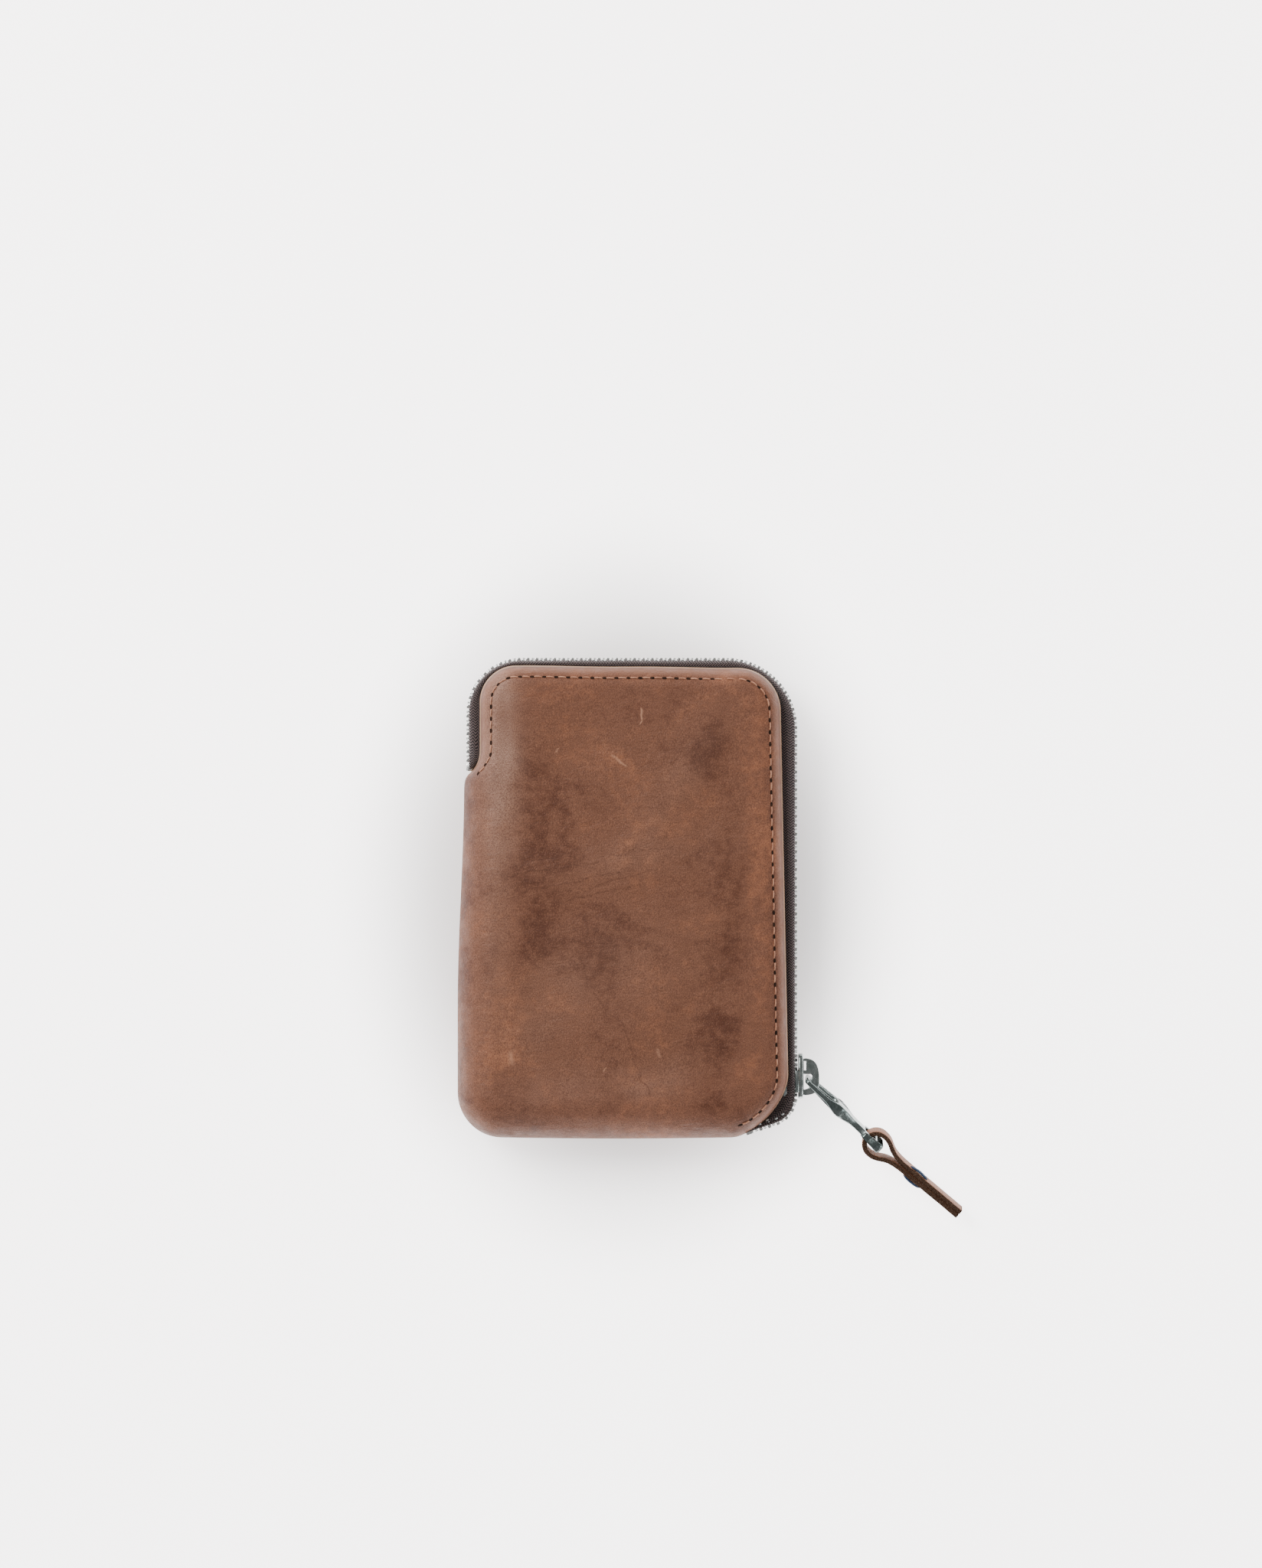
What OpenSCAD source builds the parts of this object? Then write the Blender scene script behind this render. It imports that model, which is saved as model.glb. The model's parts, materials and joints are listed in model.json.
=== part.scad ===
// Small leather pouch with a zip that runs round three of its sides.
// The leather is one sheet folded along the left side, the bottom seam is turned inside,
// and the upper right half of the front cover peels back about a slanting fold line.
// Origin: middle of the resting plane. +X to the zip side, +Y to the top edge, +Z up.

/* [Pouch] */
// Width from the folded spine to the outside of the zip chain
pouch_w = 78.6; // [68:0.1:95]
// Height from the bottom seam to the outside of the zip chain
pouch_h = 111; // [95:0.1:135]
// Thickness when it is zipped up and lying flat
pouch_t = 18; // [17:0.1:24]
// Thickness of the leather
leather_t = 1.2; // [0.8:0.1:1.6]
// How far the leather's cut edge lies inside the zip chain on the right
edge_inset_right = 2.9; // [2.4:0.1:4]
// How far the leather's cut edge lies inside the zip chain at the top
edge_inset_top = 1.8; // [1.4:0.1:3]
// How far the leather's free left edge lies inside the spine
edge_inset_left = 5.2; // [4.8:0.1:7]
// Radius of the rolled-over rim along the free edges
rim_r = 4.8; // [4.6:0.1:5]
// Plan radius of the leather at the top left corner
corner_top_left = 8.5; // [7:0.1:11]
// Plan radius of the leather at the top right corner
corner_top_right = 10; // [8:0.1:13]
// Plan radius of the leather at the bottom right corner
corner_bottom_right = 13; // [12:0.1:16]
// Plan radius of the leather at the bottom left corner
corner_bottom_left = 10.5; // [10:0.1:13]

/* [Opening] */
// Height of the notch where the spine ends, above the middle
notch_y = 27.4; // [20:0.1:32]
// Radius of the notch's inner corner
notch_r = 6; // [4:0.1:8]
// How far the fold line's right end lies above the slider
fold_clear = 0.8; // [0.6:0.1:3]
// Where the bottom seam stops and the free edge starts, from the middle
seam_end_x = 24; // [20:0.1:26]

/* [Zip] */
// Thickness of the woven tape
tape_t = 0.5; // [0.4:0.05:0.6]
// Distance from one tooth to the next on one tape
tooth_pitch = 2.05; // [1.9:0.05:2.5]
// Size of a tooth along the chain
tooth_l = 1; // [0.8:0.05:1.2]
// Size of a tooth across the tape
tooth_w = 2.2; // [2:0.1:2.4]
// Height of a tooth from its head to the end of its legs
tooth_h = 1.7; // [1.4:0.05:2.1]
// Half of the gap that the slider's post needs between the two rows
row_gap = 0.65; // [0.6:0.01:0.7]
// Plan radius of the chain at the top left corner
zip_top_left = 11.7; // [10:0.1:14]
// Plan radius of the chain at the top right corner
zip_top_right = 15.4; // [13:0.1:17]
// Plan radius of the chain at the bottom right corner
zip_bottom_right = 6.2; // [6:0.1:7]
// How far the chain lies inside the spine on the left
zip_inset_left = 2; // [1.5:0.1:3]
// How far above the bottom seam the chain's last stretch runs
zip_inset_bottom = 2.4; // [2:0.1:3]

/* [Slider] */
// Length of the slider
slider_l = 10.4; // [9.6:0.1:10.8]
// Thickness of the flanges that fold round the teeth
flange_t = 0.8; // [0.6:0.05:1]
// Thickness of each wing
wing_t = 1.1; // [0.9:0.05:1.3]
// How far the slider's middle stays above the chain's bottom right corner
slider_rise = 4.6; // [4.6:0.1:6]
// Clearance between the slider and the teeth
slide_gap = 0.15; // [0.12:0.01:0.2]
// Length of the bail
bail_l = 9; // [8.4:0.1:9.4]
// How far the bail stands off the wing
bail_h = 3.8; // [3.7:0.1:4.2]
// Width of the bail's plate
bail_t = 1.6; // [1.4:0.1:1.8]
// Width of the hole in the bail
bail_hole = 2.2; // [2.1:0.05:2.3]

/* [Pull] */
// Distance from the bail to the middle of the strap's loop
pull_reach = 22; // [20:0.1:25]
// Thickness of the pull
pull_t = 1; // [0.9:0.05:1.1]
// Height of the ring that goes round the bail
ring_h = 6.2; // [6:0.1:6.8]
// Height of the pull at its narrow waist
waist_h = 3.2; // [2.8:0.1:4]
// Wall of the pull above and below the slot for the strap
pull_wall = 0.8; // [0.6:0.05:1.2]
// Direction of the pull, below the X axis
pull_angle = 43; // [40:1:46]
// Droop of the pull towards the table
pull_droop = 7; // [6:0.5:7.5]
// Lean of the pull's and the strap's upper edge
pull_lean = 9; // [6:0.5:10]

/* [Strap] */
// Width of the leather strap
strap_w = 4.5; // [3.7:0.1:5.4]
// Thickness of one layer of the strap
strap_t = 1; // [0.8:0.05:1.1]
// Inner radius of the strap's loop
loop_r = 2.3; // [2.2:0.05:2.4]
// Distance from the loop's middle to the strap's end
strap_l = 25.7; // [22:0.1:29]
// Direction of the strap, below the X axis
strap_angle = 40; // [38:1:44]
// Droop of the strap towards the table
strap_droop = 8; // [6:0.5:8]

/* [Stitching] */
// Distance from one stitch to the next
stitch_pitch = 2.8; // [2.4:0.1:3.4]
// Length of thread that shows between two holes
stitch_l = 2; // [1.6:0.1:2.2]
// Diameter of the thread
thread_d = 0.4; // [0.3:0.02:0.42]
// Distance from the leather's cut edge to the stitches
stitch_inset = 2.7; // [2.6:0.05:3]

/* [Pocket] */
// Gap between the card pocket and the curves on both sides of it
pocket_gap = 1.5; // [1:0.1:4]
// Height of the card pocket
pocket_h = 72; // [60:0.5:76]
// Thickness of the pocket's leather
pocket_t = 1; // [0.8:0.1:1.2]

/* [Hidden] */
$fn = 32;

mid = pouch_t / 2;                     // height of the zip chain above the resting plane
spine_r = pouch_t / 2;                 // the spine is a half round
left = -pouch_w / 2;
right = pouch_w / 2;
bottom = -pouch_h / 2;
top = pouch_h / 2;
spine_x = left + spine_r;              // where the spine's curve meets the flat panels
edge_x = right - edge_inset_right;     // the leather's free edge on the right
edge_y = top - edge_inset_top;         // the leather's free edge at the top
free_x = left + edge_inset_left;       // the leather's free edge above the notch
rim_z = pouch_t - rim_r;               // height of the front cut edge
part_gap = 0.3;                        // between leather pieces that move apart
fit_gap = 0.05;                        // between layers that lie on each other
steps = 8;                             // pieces in a plan corner
levels = 7;                            // pieces in the spine's quarter round
big = 300;

// Zip chain: middle plane of the tape, as a path round the pouch
zip_l = left + zip_inset_left + tooth_w / 2;
zip_r = right - tooth_w / 2;
zip_t = top - tooth_w / 2;
zip_b = bottom + zip_inset_bottom + tooth_w / 2;
zip_start_y = notch_y + 2.4;           // tucked in behind the notch
zip_end_turn = 72;                     // degrees round the bottom right corner
tape_foot = mid + row_gap + tooth_h - 0.6;
slider_w = 2 * (row_gap + tooth_h + slide_gap + flange_t);
tape_bend = mid + slider_w / 2 + 0.45;

slider_y = zip_b + zip_bottom_right + slider_rise;

// Fold line of the front cover, from the notch to just above the slider
fold_a = [left + 1.2, notch_y];
fold_b = [zip_r, slider_y + slider_l / 2 + fold_clear];
fold_turn = atan2(fold_b[1] - fold_a[1], fold_b[0] - fold_a[0]);

channel = tooth_w / 2 + slide_gap;     // from the tape's plane to each wing
wing_x = zip_r + channel + wing_t;     // outer face of the outer wing
leg_x = wing_x + bail_hole / 2;        // axis of the pull's leg in the bail
leg_y = slider_y - 0.8;
ring_inner = ring_h - 2.2;             // clear height inside the pull's ring
ring_l = 8.8;                          // from the leg to the end of the ring's opening
eye_l = 2.6;                           // length of the slot for the strap
eye_h = strap_w + 1.1;                 // height of the slot for the strap
pull_end_h = eye_h + 2 * pull_wall;    // height of the pull's far end

// ---------- plan curves ----------

function arc(x, y, r, from, to, n = steps) =
    [for (i = [0:n]) let (a = from + (to - from) * i / n) [x + r * cos(a), y + r * sin(a)]];

function line(a, b, n) = [for (i = [1:n - 1]) a + (b - a) * i / n];

// Rounded rectangle: radii at bottom left, bottom right, top right, top left
function plan(x0, x1, y0, y1, bl, br, tr, tl) = concat(
    arc(x0 + bl, y0 + bl, bl, 180, 270), arc(x1 - br, y0 + br, br, 270, 360),
    arc(x1 - tr, y1 - tr, tr, 0, 90), arc(x0 + tl, y1 - tl, tl, 90, 180));

// An open path from the notch up, round the top and down to the bottom right corner
function round_path(x0, x1, y0, y1, tl, tr, br, start_y, turn) = concat(
    [[x0, start_y]], line([x0, start_y], [x0, y1 - tl], 3),
    arc(x0 + tl, y1 - tl, tl, 180, 90),
    line([x0 + tl, y1], [x1 - tr, y1], 6),
    arc(x1 - tr, y1 - tr, tr, 90, 0),
    line([x1, y1 - tr], [x1, y0 + br], 12),
    arc(x1 - br, y0 + br, br, 0, -turn));

// The zip chain's path, o inside the tape's middle plane
function zip_path(o) = round_path(zip_l + o, zip_r - o, zip_b + o, zip_t - o, zip_top_left - o,
    zip_top_right - o, zip_bottom_right - o, zip_start_y, zip_end_turn);

// The leather's free edge, o inside it
function edge_path(o) = round_path(free_x + o, edge_x - o, bottom + 1 + o, edge_y - o,
    corner_top_left - o, corner_top_right - o, corner_bottom_right - o, notch_y + notch_r, 78);

// How much a station belongs to the half round of the left side or of the bottom (1),
// or to the rolled rim of the top and right (0)
left_share = [for (i = [0:2]) 1, for (i = [0:steps]) 1 - i / steps,
    for (i = [1:5]) 0, for (i = [0:steps]) 0, for (i = [1:11]) 0, for (i = [0:steps]) 0];
low_share = [for (i = [0:len(left_share) - 1])
    let (k = i - (len(left_share) - 1 - steps)) k > 0 ? 0.87 * k / steps : 0];

// Place things at a distance s along the chain: local X along it, local Y outwards
len_left = zip_t - zip_top_left - zip_start_y;
len_tl = zip_top_left * PI / 2;
len_top = zip_r - zip_top_right - zip_l - zip_top_left;
len_tr = zip_top_right * PI / 2;
len_right = zip_t - zip_top_right - zip_b - zip_bottom_right;
len_br = zip_bottom_right * PI * zip_end_turn / 180;
at_tl = len_left;
at_top = at_tl + len_tl;
at_tr = at_top + len_top;
at_right = at_tr + len_tr;
at_br = at_right + len_right;
zip_len = at_br + len_br;

function turned(x, y, r, a) = [x + r * cos(a), y + r * sin(a), a - 90];
function along(s) =
    s < at_tl ? [zip_l, zip_start_y + s, 90]
    : s < at_top ? turned(zip_l + zip_top_left, zip_t - zip_top_left, zip_top_left,
                          180 - 90 * (s - at_tl) / len_tl)
    : s < at_tr ? [zip_l + zip_top_left + s - at_top, zip_t, 0]
    : s < at_right ? turned(zip_r - zip_top_right, zip_t - zip_top_right, zip_top_right,
                            90 - 90 * (s - at_tr) / len_tr)
    : s < at_br ? [zip_r, zip_t - zip_top_right - (s - at_right), -90]
    : turned(zip_r - zip_bottom_right, zip_b + zip_bottom_right, zip_bottom_right,
             -zip_end_turn * (s - at_br) / len_br);

// Signed distance of a point from the fold line, positive on the flap's side
function past_fold(p) = -(p[0] - fold_a[0]) * sin(fold_turn) + (p[1] - fold_a[1]) * cos(fold_turn);

// ---------- leather shell ----------

// Inset from the spine's outermost line at the height of angle a on the quarter round
function side_in(a, d) = spine_r - (spine_r - d) * cos(a);
function level_z(a, d) = mid + (spine_r - d) * sin(a);
// Inset of the rolled rim at height z
function rim_in(z, d) = z <= rim_z ? d
    : rim_r - sqrt(max(0, pow(rim_r - d, 2) - pow(z - rim_z, 2)));

function ring(a, d) = let (p = side_in(a, d), z = level_z(a, d), e = rim_in(z, d))
    [for (q = plan(left + p, edge_x - e, bottom + p, edge_y - e,
                   max(0.6, corner_bottom_left - p), max(0.6, corner_bottom_right - (p + e) / 2),
                   corner_top_right - e, corner_top_left - e)) [q[0], q[1], z]];

// Closed form between the middle plane and the top face, d inside the outer skin
module dome(d) {
    n = 4 * (steps + 1);
    points = [for (k = [0:levels]) each ring(90 * k / levels, d)];
    sides = [for (k = [0:levels - 1], i = [0:n - 1]) let (j = (i + 1) % n)
        [k * n + i, (k + 1) * n + i, (k + 1) * n + j, k * n + j]];
    polyhedron(points, concat(sides, [[for (i = [0:n - 1]) i]],
        [[for (i = [n - 1:-1:0]) levels * n + i]]), convexity = 4);
}

// Plan area of the leather: everything except the cut-away corner above the notch
module sheet_area() {
    linear_extrude(big, center = true)
        polygon(concat([[-big, notch_y], [-big, -big], [big, -big], [big, edge_y],
                        [edge_x, edge_y]],
            arc(free_x + corner_top_left, edge_y - corner_top_left, corner_top_left, 90, 180),
            arc(free_x - notch_r, notch_y + notch_r, notch_r, 0, -90)));
}

// Front half of the leather shell, cut back to its free edges
module front_shell() {
    intersection() {
        difference() {
            dome(0);
            translate([0, 0, -0.01]) dome(leather_t);
            // free edge on the right and round the bottom right corner
            translate([seam_end_x, -big / 2, -big + rim_z]) cube([big, big, big]);
            // free edge at the top
            translate([-big / 2, notch_y + notch_r, -big + rim_z]) cube([big, big, big]);
        }
        sheet_area();
    }
}

module back_shell() {
    translate([0, 0, pouch_t]) mirror([0, 0, 1]) front_shell();
}

module right_of_spine() {
    translate([spine_x, -big / 2, -big / 2]) cube([big, big, big]);
}

// Everything on the flap's side of the fold line, starting g past it
module flap_side(g) {
    translate([fold_a[0], fold_a[1], mid - big / 2]) rotate(fold_turn)
        translate([-big / 2, g, 0]) cube([big, big, big]);
}

module flap_zone() {
    intersection() {
        flap_side(part_gap / 2);
        translate([-big / 2, -big / 2, mid + part_gap]) cube([big, big, big]);
    }
}

module not_flap_zone() {
    difference() {
        cube([big, big, big], center = true);
        intersection() {
            flap_side(-part_gap / 2);
            translate([-big / 2, -big / 2, mid]) cube([big, big, big]);
        }
    }
}

// Pale brown pull-up leather of the back, with its half of the turned bottom edge
module back_panel() {
    color("sienna") intersection() {
        back_shell();
        right_of_spine();
    }
}

module spine_fold() {
    color("sienna") difference() {
        intersection() {
            union() {
                back_shell();
                front_shell();
            }
            not_flap_zone();
        }
        right_of_spine();
    }
}

module front_panel_fixed() {
    color("sienna") intersection() {
        front_shell();
        not_flap_zone();
        right_of_spine();
    }
}

module front_panel_flap() {
    color("sienna") intersection() {
        front_shell();
        flap_zone();
    }
}

// ---------- bottom seam, turned inside ----------

allowance_y = bottom + leather_t + 4 * fit_gap;
allowance_x = spine_x + 2;
allowance_d = 4.5;                     // depth of the turned strip inside the pouch
allowance_t = 1;                       // the leather is pared thin where it is turned

module allowance(z) {
    translate([allowance_x, allowance_y, z])
        cube([seam_end_x - allowance_x, allowance_d, allowance_t]);
}

module seam_allowance_back() {
    color("peru") allowance(mid - fit_gap / 2 - allowance_t);
}

module seam_allowance_front() {
    color("peru") allowance(mid + fit_gap / 2);
}

// Loops of thread on the outside faces of the two strips
module seam_thread() {
    color("saddlebrown")
        for (x = [allowance_x + 2 : stitch_pitch : seam_end_x - 3], side = [-1, 1])
            translate([x, allowance_y + allowance_d / 2,
                       mid + side * (fit_gap * 1.5 + allowance_t + thread_d / 2)])
                rotate([0, 90, 0]) cylinder(d = thread_d, h = stitch_l, center = true);
}

// ---------- card pocket on the inside of the back ----------

module card_pocket() {
    x0 = spine_x + pocket_gap;
    y0 = bottom + spine_r + pocket_gap;
    z0 = leather_t + fit_gap;
    pocket_w = edge_x - rim_r - pocket_gap - x0;
    color("saddlebrown") difference() {
        translate([x0, y0, z0]) cube([pocket_w, pocket_h, pocket_t * 2]);
        // the slot for cards, open at the top
        translate([x0 + 2, y0 + 2, z0 - 1]) cube([pocket_w - 4, pocket_h, pocket_t + 1]);
    }
}

// ---------- stitches round the free edges ----------

// Drop of the rolled rim below the top face at the stitch line
stitch_drop = rim_r - sqrt(pow(rim_r, 2) - pow(rim_r - stitch_inset, 2));
stitch_z = pouch_t - stitch_drop + fit_gap / 2 + thread_d / 2;
stitch_shift = 2.1;                    // the stitches run out to the rounder skin on the left
stitch_x0 = free_x + stitch_inset;
stitch_x1 = edge_x - stitch_inset;
stitch_y1 = edge_y - stitch_inset;
stitch_tl = corner_top_left - stitch_inset;
stitch_tr = corner_top_right - stitch_inset;
stitch_br = corner_bottom_right - stitch_inset - 2;

// One stitch at a spot [x, y, heading, height]
module stitch(s) {
    translate([s[0], s[1], s[3]]) rotate([0, 90, s[2]])
        cylinder(d = thread_d, h = stitch_l, center = true);
}

function run(a, b) = let (n = floor(norm(b - a) / stitch_pitch), h = atan2(b[1] - a[1], b[0] - a[0]))
    [for (i = [0:n]) let (p = a + (b - a) * i / n) [p[0], p[1], h, stitch_z]];
// Round a corner: its radius starts longer by shift and comes down to r
function bend(x, y, r, from, to, shift = 0) =
    let (n = max(2, round(r * abs(to - from) * PI / 180 / stitch_pitch)))
    [for (i = [1:n - 1]) let (a = from + (to - from) * i / n, left_part = 1 - i / n)
        let (ri = r + shift * left_part, slant = atan(shift / (ri * PI / 2)))
        [x + ri * cos(a), y + ri * sin(a), a + 90 - slant, stitch_z + (shift > 0 ? fit_gap * left_part : 0)]];

stitch_low_y = bottom + 1 + stitch_inset + stitch_br;
stitch_spots = concat(
    bend(stitch_x0 + stitch_tl, stitch_y1 - stitch_tl, stitch_tl, 180, 90, stitch_shift),
    run([stitch_x0 + stitch_tl, stitch_y1], [stitch_x1 - stitch_tr, stitch_y1]),
    bend(stitch_x1 - stitch_tr, stitch_y1 - stitch_tr, stitch_tr, 90, 0),
    run([stitch_x1, stitch_y1 - stitch_tr], [stitch_x1, stitch_low_y]),
    bend(stitch_x1 - stitch_br, stitch_low_y, stitch_br, 0, -64));

module stitches_back() {
    color("peru") translate([0, 0, pouch_t]) mirror([0, 0, 1])
        for (s = stitch_spots) stitch(s);
}

module stitches_front_fixed() {
    color("peru") for (s = stitch_spots)
        if (past_fold(s) < -stitch_l) stitch(s);
}

module stitches_front_flap() {
    color("peru") for (s = stitch_spots)
        if (past_fold(s) > stitch_l) stitch(s);
}

// ---------- zip tape ----------

// Height of the leather's inner skin, o inside its free edge
function skin_right(o) = rim_z + sqrt(max(0, pow(rim_r - leather_t, 2) - pow(max(0, rim_r - o), 2)));
function skin_round(o) = mid + sqrt(max(0, pow(spine_r - leather_t, 2) - pow(max(0, spine_r - o), 2)));

tape_under = 0.25;                     // between the tape and the leather over it
// How far inside the leather's free edge the four bends of the tucked-in tape lie
tuck = [leather_t + 0.25, leather_t + 0.45, 2.6, 4.6];

function at_height(path, z) = [for (p = path) [p[0], p[1], z]];
function skin_z(k, o, i) =
    let (r = k == 0 ? rim_z - tape_under : k == 1 ? rim_z + 0.5 : skin_right(o) - tape_under)
    let (l = skin_round(edge_inset_left + o) - tape_under)
    let (b = min(r, skin_round(1 + o) - tape_under - 0.3))
    r + (l - r) * left_share[i] + (b - r) * low_share[i];

// Outer skin of the front tape, then its inner skin, as rows that follow the path
tape_rows = concat(
    [at_height(zip_path(-tape_t / 2), tape_foot), at_height(zip_path(-tape_t / 2), tape_bend)],
    [for (k = [0:3]) let (path = edge_path(tuck[k]))
        [for (i = [0:len(path) - 1]) [path[i][0], path[i][1], skin_z(k, tuck[k], i)]]],
    [for (k = [3:-1:1]) let (path = edge_path(tuck[k] + (k == 1 ? tape_t : 0)))
        [for (i = [0:len(path) - 1]) [path[i][0], path[i][1], skin_z(k, tuck[k], i) - tape_t]]],
    [let (path = edge_path(tuck[1] + tape_t))
        [for (i = [0:len(path) - 1]) [path[i][0], path[i][1], skin_z(0, tuck[0], i) - tape_t]]],
    [at_height(zip_path(tape_t / 2), tape_bend - tape_t * 0.4),
     at_height(zip_path(tape_t / 2), tape_foot)]);

module front_tape() {
    rows = len(tape_rows);
    n = len(tape_rows[0]);
    sides = [for (k = [0:rows - 1], i = [0:n - 2]) let (a = k * n + i, b = (k + 1) % rows * n + i)
        each [[a, a + 1, b + 1], [a, b + 1, b]]];
    caps = [for (k = [0:rows / 2 - 2])
        let (a = k * n, b = (k + 1) * n, c = (rows - 2 - k) * n, d = (rows - 1 - k) * n, e = n - 1)
        each [[a, b, c], [a, c, d], [b + e, a + e, d + e], [b + e, d + e, c + e]]];
    polyhedron([for (r = tape_rows) each r], concat(sides, caps), convexity = 6);
}

module zip_tape_back() {
    color("darkslategray") translate([0, 0, pouch_t]) mirror([0, 0, 1]) front_tape();
}

module zip_tape_front_fixed() {
    color("darkslategray") intersection() {
        front_tape();
        not_flap_zone();
        translate([0, -big / 2, 0]) cube([big, big, big]);
    }
}

module zip_tape_front_flap() {
    color("darkslategray") intersection() {
        front_tape();
        flap_zone();
    }
}

// ---------- zip teeth and stops ----------

leg_gap = 0.08;                        // between a tooth's legs and the tape

// One tooth of the front row: a head, and two legs that clamp the tape
module tooth(s) {
    p = along(s);
    half = tooth_w / 2;
    slot = tape_t / 2 + leg_gap;
    foot = mid + row_gap;
    translate([p[0], p[1], 0]) rotate([90, 0, 90 + p[2]])
        translate([0, 0, -tooth_l / 2]) linear_extrude(tooth_l) polygon([
            [-half, foot], [half, foot], [half, foot + tooth_h], [slot, foot + tooth_h],
            [slot, tape_foot - leg_gap], [-slot, tape_foot - leg_gap],
            [-slot, foot + tooth_h], [-half, foot + tooth_h]]);
}

first_tooth = 2.5;
last_tooth = zip_len - 2.6;
tooth_count = floor((last_tooth - first_tooth) / tooth_pitch);
tooth_spots = [for (i = [0:tooth_count]) first_tooth + i * tooth_pitch];
function tooth_past(s) = past_fold(along(s));

module zip_teeth_back() {
    color("silver") translate([0, 0, pouch_t]) mirror([0, 0, 1])
        for (s = tooth_spots) tooth(s);
}

module zip_teeth_front_fixed() {
    color("silver") for (s = tooth_spots) if (tooth_past(s) < -tooth_l) tooth(s);
}

module zip_teeth_front_flap() {
    color("silver") for (s = tooth_spots) if (tooth_past(s) > tooth_l) tooth(s);
}

// Crimped stops past the last tooth of each row, and a staple past the first back tooth
module zip_end_stops() {
    stop_at = zip_len - 0.9;
    color("silver") {
        tooth(stop_at);
        translate([0, 0, pouch_t]) mirror([0, 0, 1]) {
            tooth(stop_at);
            tooth(0.8);
        }
    }
}

// ---------- slider ----------

// Shield-shaped wing: narrower at its top end, both ends rounded
module wing_plate(x) {
    h = slider_l / 2;
    w = slider_w / 2;
    e = 1.4;
    translate([x, slider_y, mid]) rotate([90, 0, 90]) linear_extrude(wing_t)
        polygon(concat(arc(-h + e, -w + e, e, 270, 180, 4), arc(-h + e, w - e, e, 180, 90, 4),
            [[1.5, w]], arc(h - e, w - 0.6 - e, e, 90, 0, 4), arc(h - e, -w + 0.6 + e, e, 0, -90, 4),
            [[1.5, -w]]));
}

module slider() {
    flange_w = channel - tape_t / 2 - 0.2;
    post_l = 3.2;
    color("silver") union() {
        wing_plate(zip_r + channel);
        wing_plate(zip_r - channel - wing_t);
        // flanges turned in along both long edges, leaving a slot for the tape
        for (outer = [0, 1], side = [-1, 1])
            translate([zip_r + (outer ? channel - flange_w : -channel),
                       slider_y - slider_l / 2 + 1.4,
                       mid - flange_t / 2 + side * (slider_w - flange_t) / 2])
                cube([flange_w, slider_l - 5.3, flange_t]);
        // post that parts the two rows
        translate([zip_r - channel, slider_y - slider_l / 2 + 0.6, mid - row_gap + slide_gap])
            cube([2 * channel, post_l, 2 * (row_gap - slide_gap)]);
        bail();
    }
}

// D-shaped bail in the middle plane of the slider
module bail() {
    h = bail_l / 2;
    r = 1.9;
    hole_top = 1.7;
    translate([wing_x, slider_y, mid - bail_t / 2]) difference() {
        linear_extrude(bail_t) polygon(concat([[-0.4, h], [-0.4, -h]],
            arc(bail_h - r, -h + r, r, -90, 0, 6), arc(bail_h - r, h - r, r, 0, 90, 6)));
        translate([0, 0, -1]) linear_extrude(bail_t + 2) polygon(concat(
            [[0, hole_top], [0, -h + 1.4]], arc(bail_hole - 0.8, -h + 2.2, 0.8, -90, 0, 5),
            [[bail_hole, hole_top]]));
    }
}

// ---------- pull ----------

// Frame of the pull: X along it from the bail, Y across its face, Z up its height
module pull_frame() {
    translate([leg_x, leg_y, mid]) rotate([0, 0, -pull_angle]) rotate([0, pull_droop, 0])
        rotate([pull_lean, 0, 0]) children();
}

leg_d = pull_t + 0.1;
pull_end = pull_reach + 1.4;
shoulder = ring_l + 1.2;
waist_x = ring_l + 5.2;
eye_x = pull_reach - 1 - eye_l;

// Upper outline of the pull from the leg to the far end
pull_edge = [[-0.5, ring_h / 2 - 1], [0.3, ring_h / 2], [ring_l - 3, ring_h / 2 - 0.1],
    [shoulder, ring_h / 2 + 0.2], [shoulder + 1.6, ring_h / 2 - 0.5], [waist_x, waist_h / 2 + 0.15],
    [waist_x + 1.4, waist_h / 2], [waist_x + 2.8, waist_h / 2 + 0.6], [eye_x - 0.9, pull_end_h / 2 - 0.6],
    [eye_x + 0.2, pull_end_h / 2], [pull_end - 0.8, pull_end_h / 2], [pull_end, pull_end_h / 2 - 0.8]];

module metal_pull() {
    n = len(pull_edge);
    ri = ring_inner / 2;
    color("silver") pull_frame() {
        rotate([90, 0, 0]) linear_extrude(pull_t, center = true) difference() {
            polygon(concat(pull_edge, [for (i = [n - 1:-1:0]) [pull_edge[i][0], -pull_edge[i][1]]]));
            // the ring's opening, from the round leg outwards
            polygon(concat([[-1, -ri], [-1, ri], [ring_l - 2, ri]],
                [[ring_l - 0.6, ri - 0.7], [ring_l, 0], [ring_l - 0.6, 0.7 - ri], [ring_l - 2, -ri]]));
            translate([eye_x, -eye_h / 2]) square([eye_l, eye_h]);
        }
        cylinder(d = leg_d, h = ring_h - 1.6, center = true);
    }
}

// ---------- strap ----------

// Middle of the strap's loop
loop_x = leg_x + pull_reach * cos(pull_droop) * cos(pull_angle);
loop_y = leg_y - pull_reach * cos(pull_droop) * sin(pull_angle);
loop_z = mid - pull_reach * sin(pull_droop);

module strap_frame() {
    translate([loop_x, loop_y, loop_z]) rotate([0, 0, -strap_angle]) rotate([0, strap_droop, 0])
        rotate([pull_lean, 0, 0]) children();
}

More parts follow.
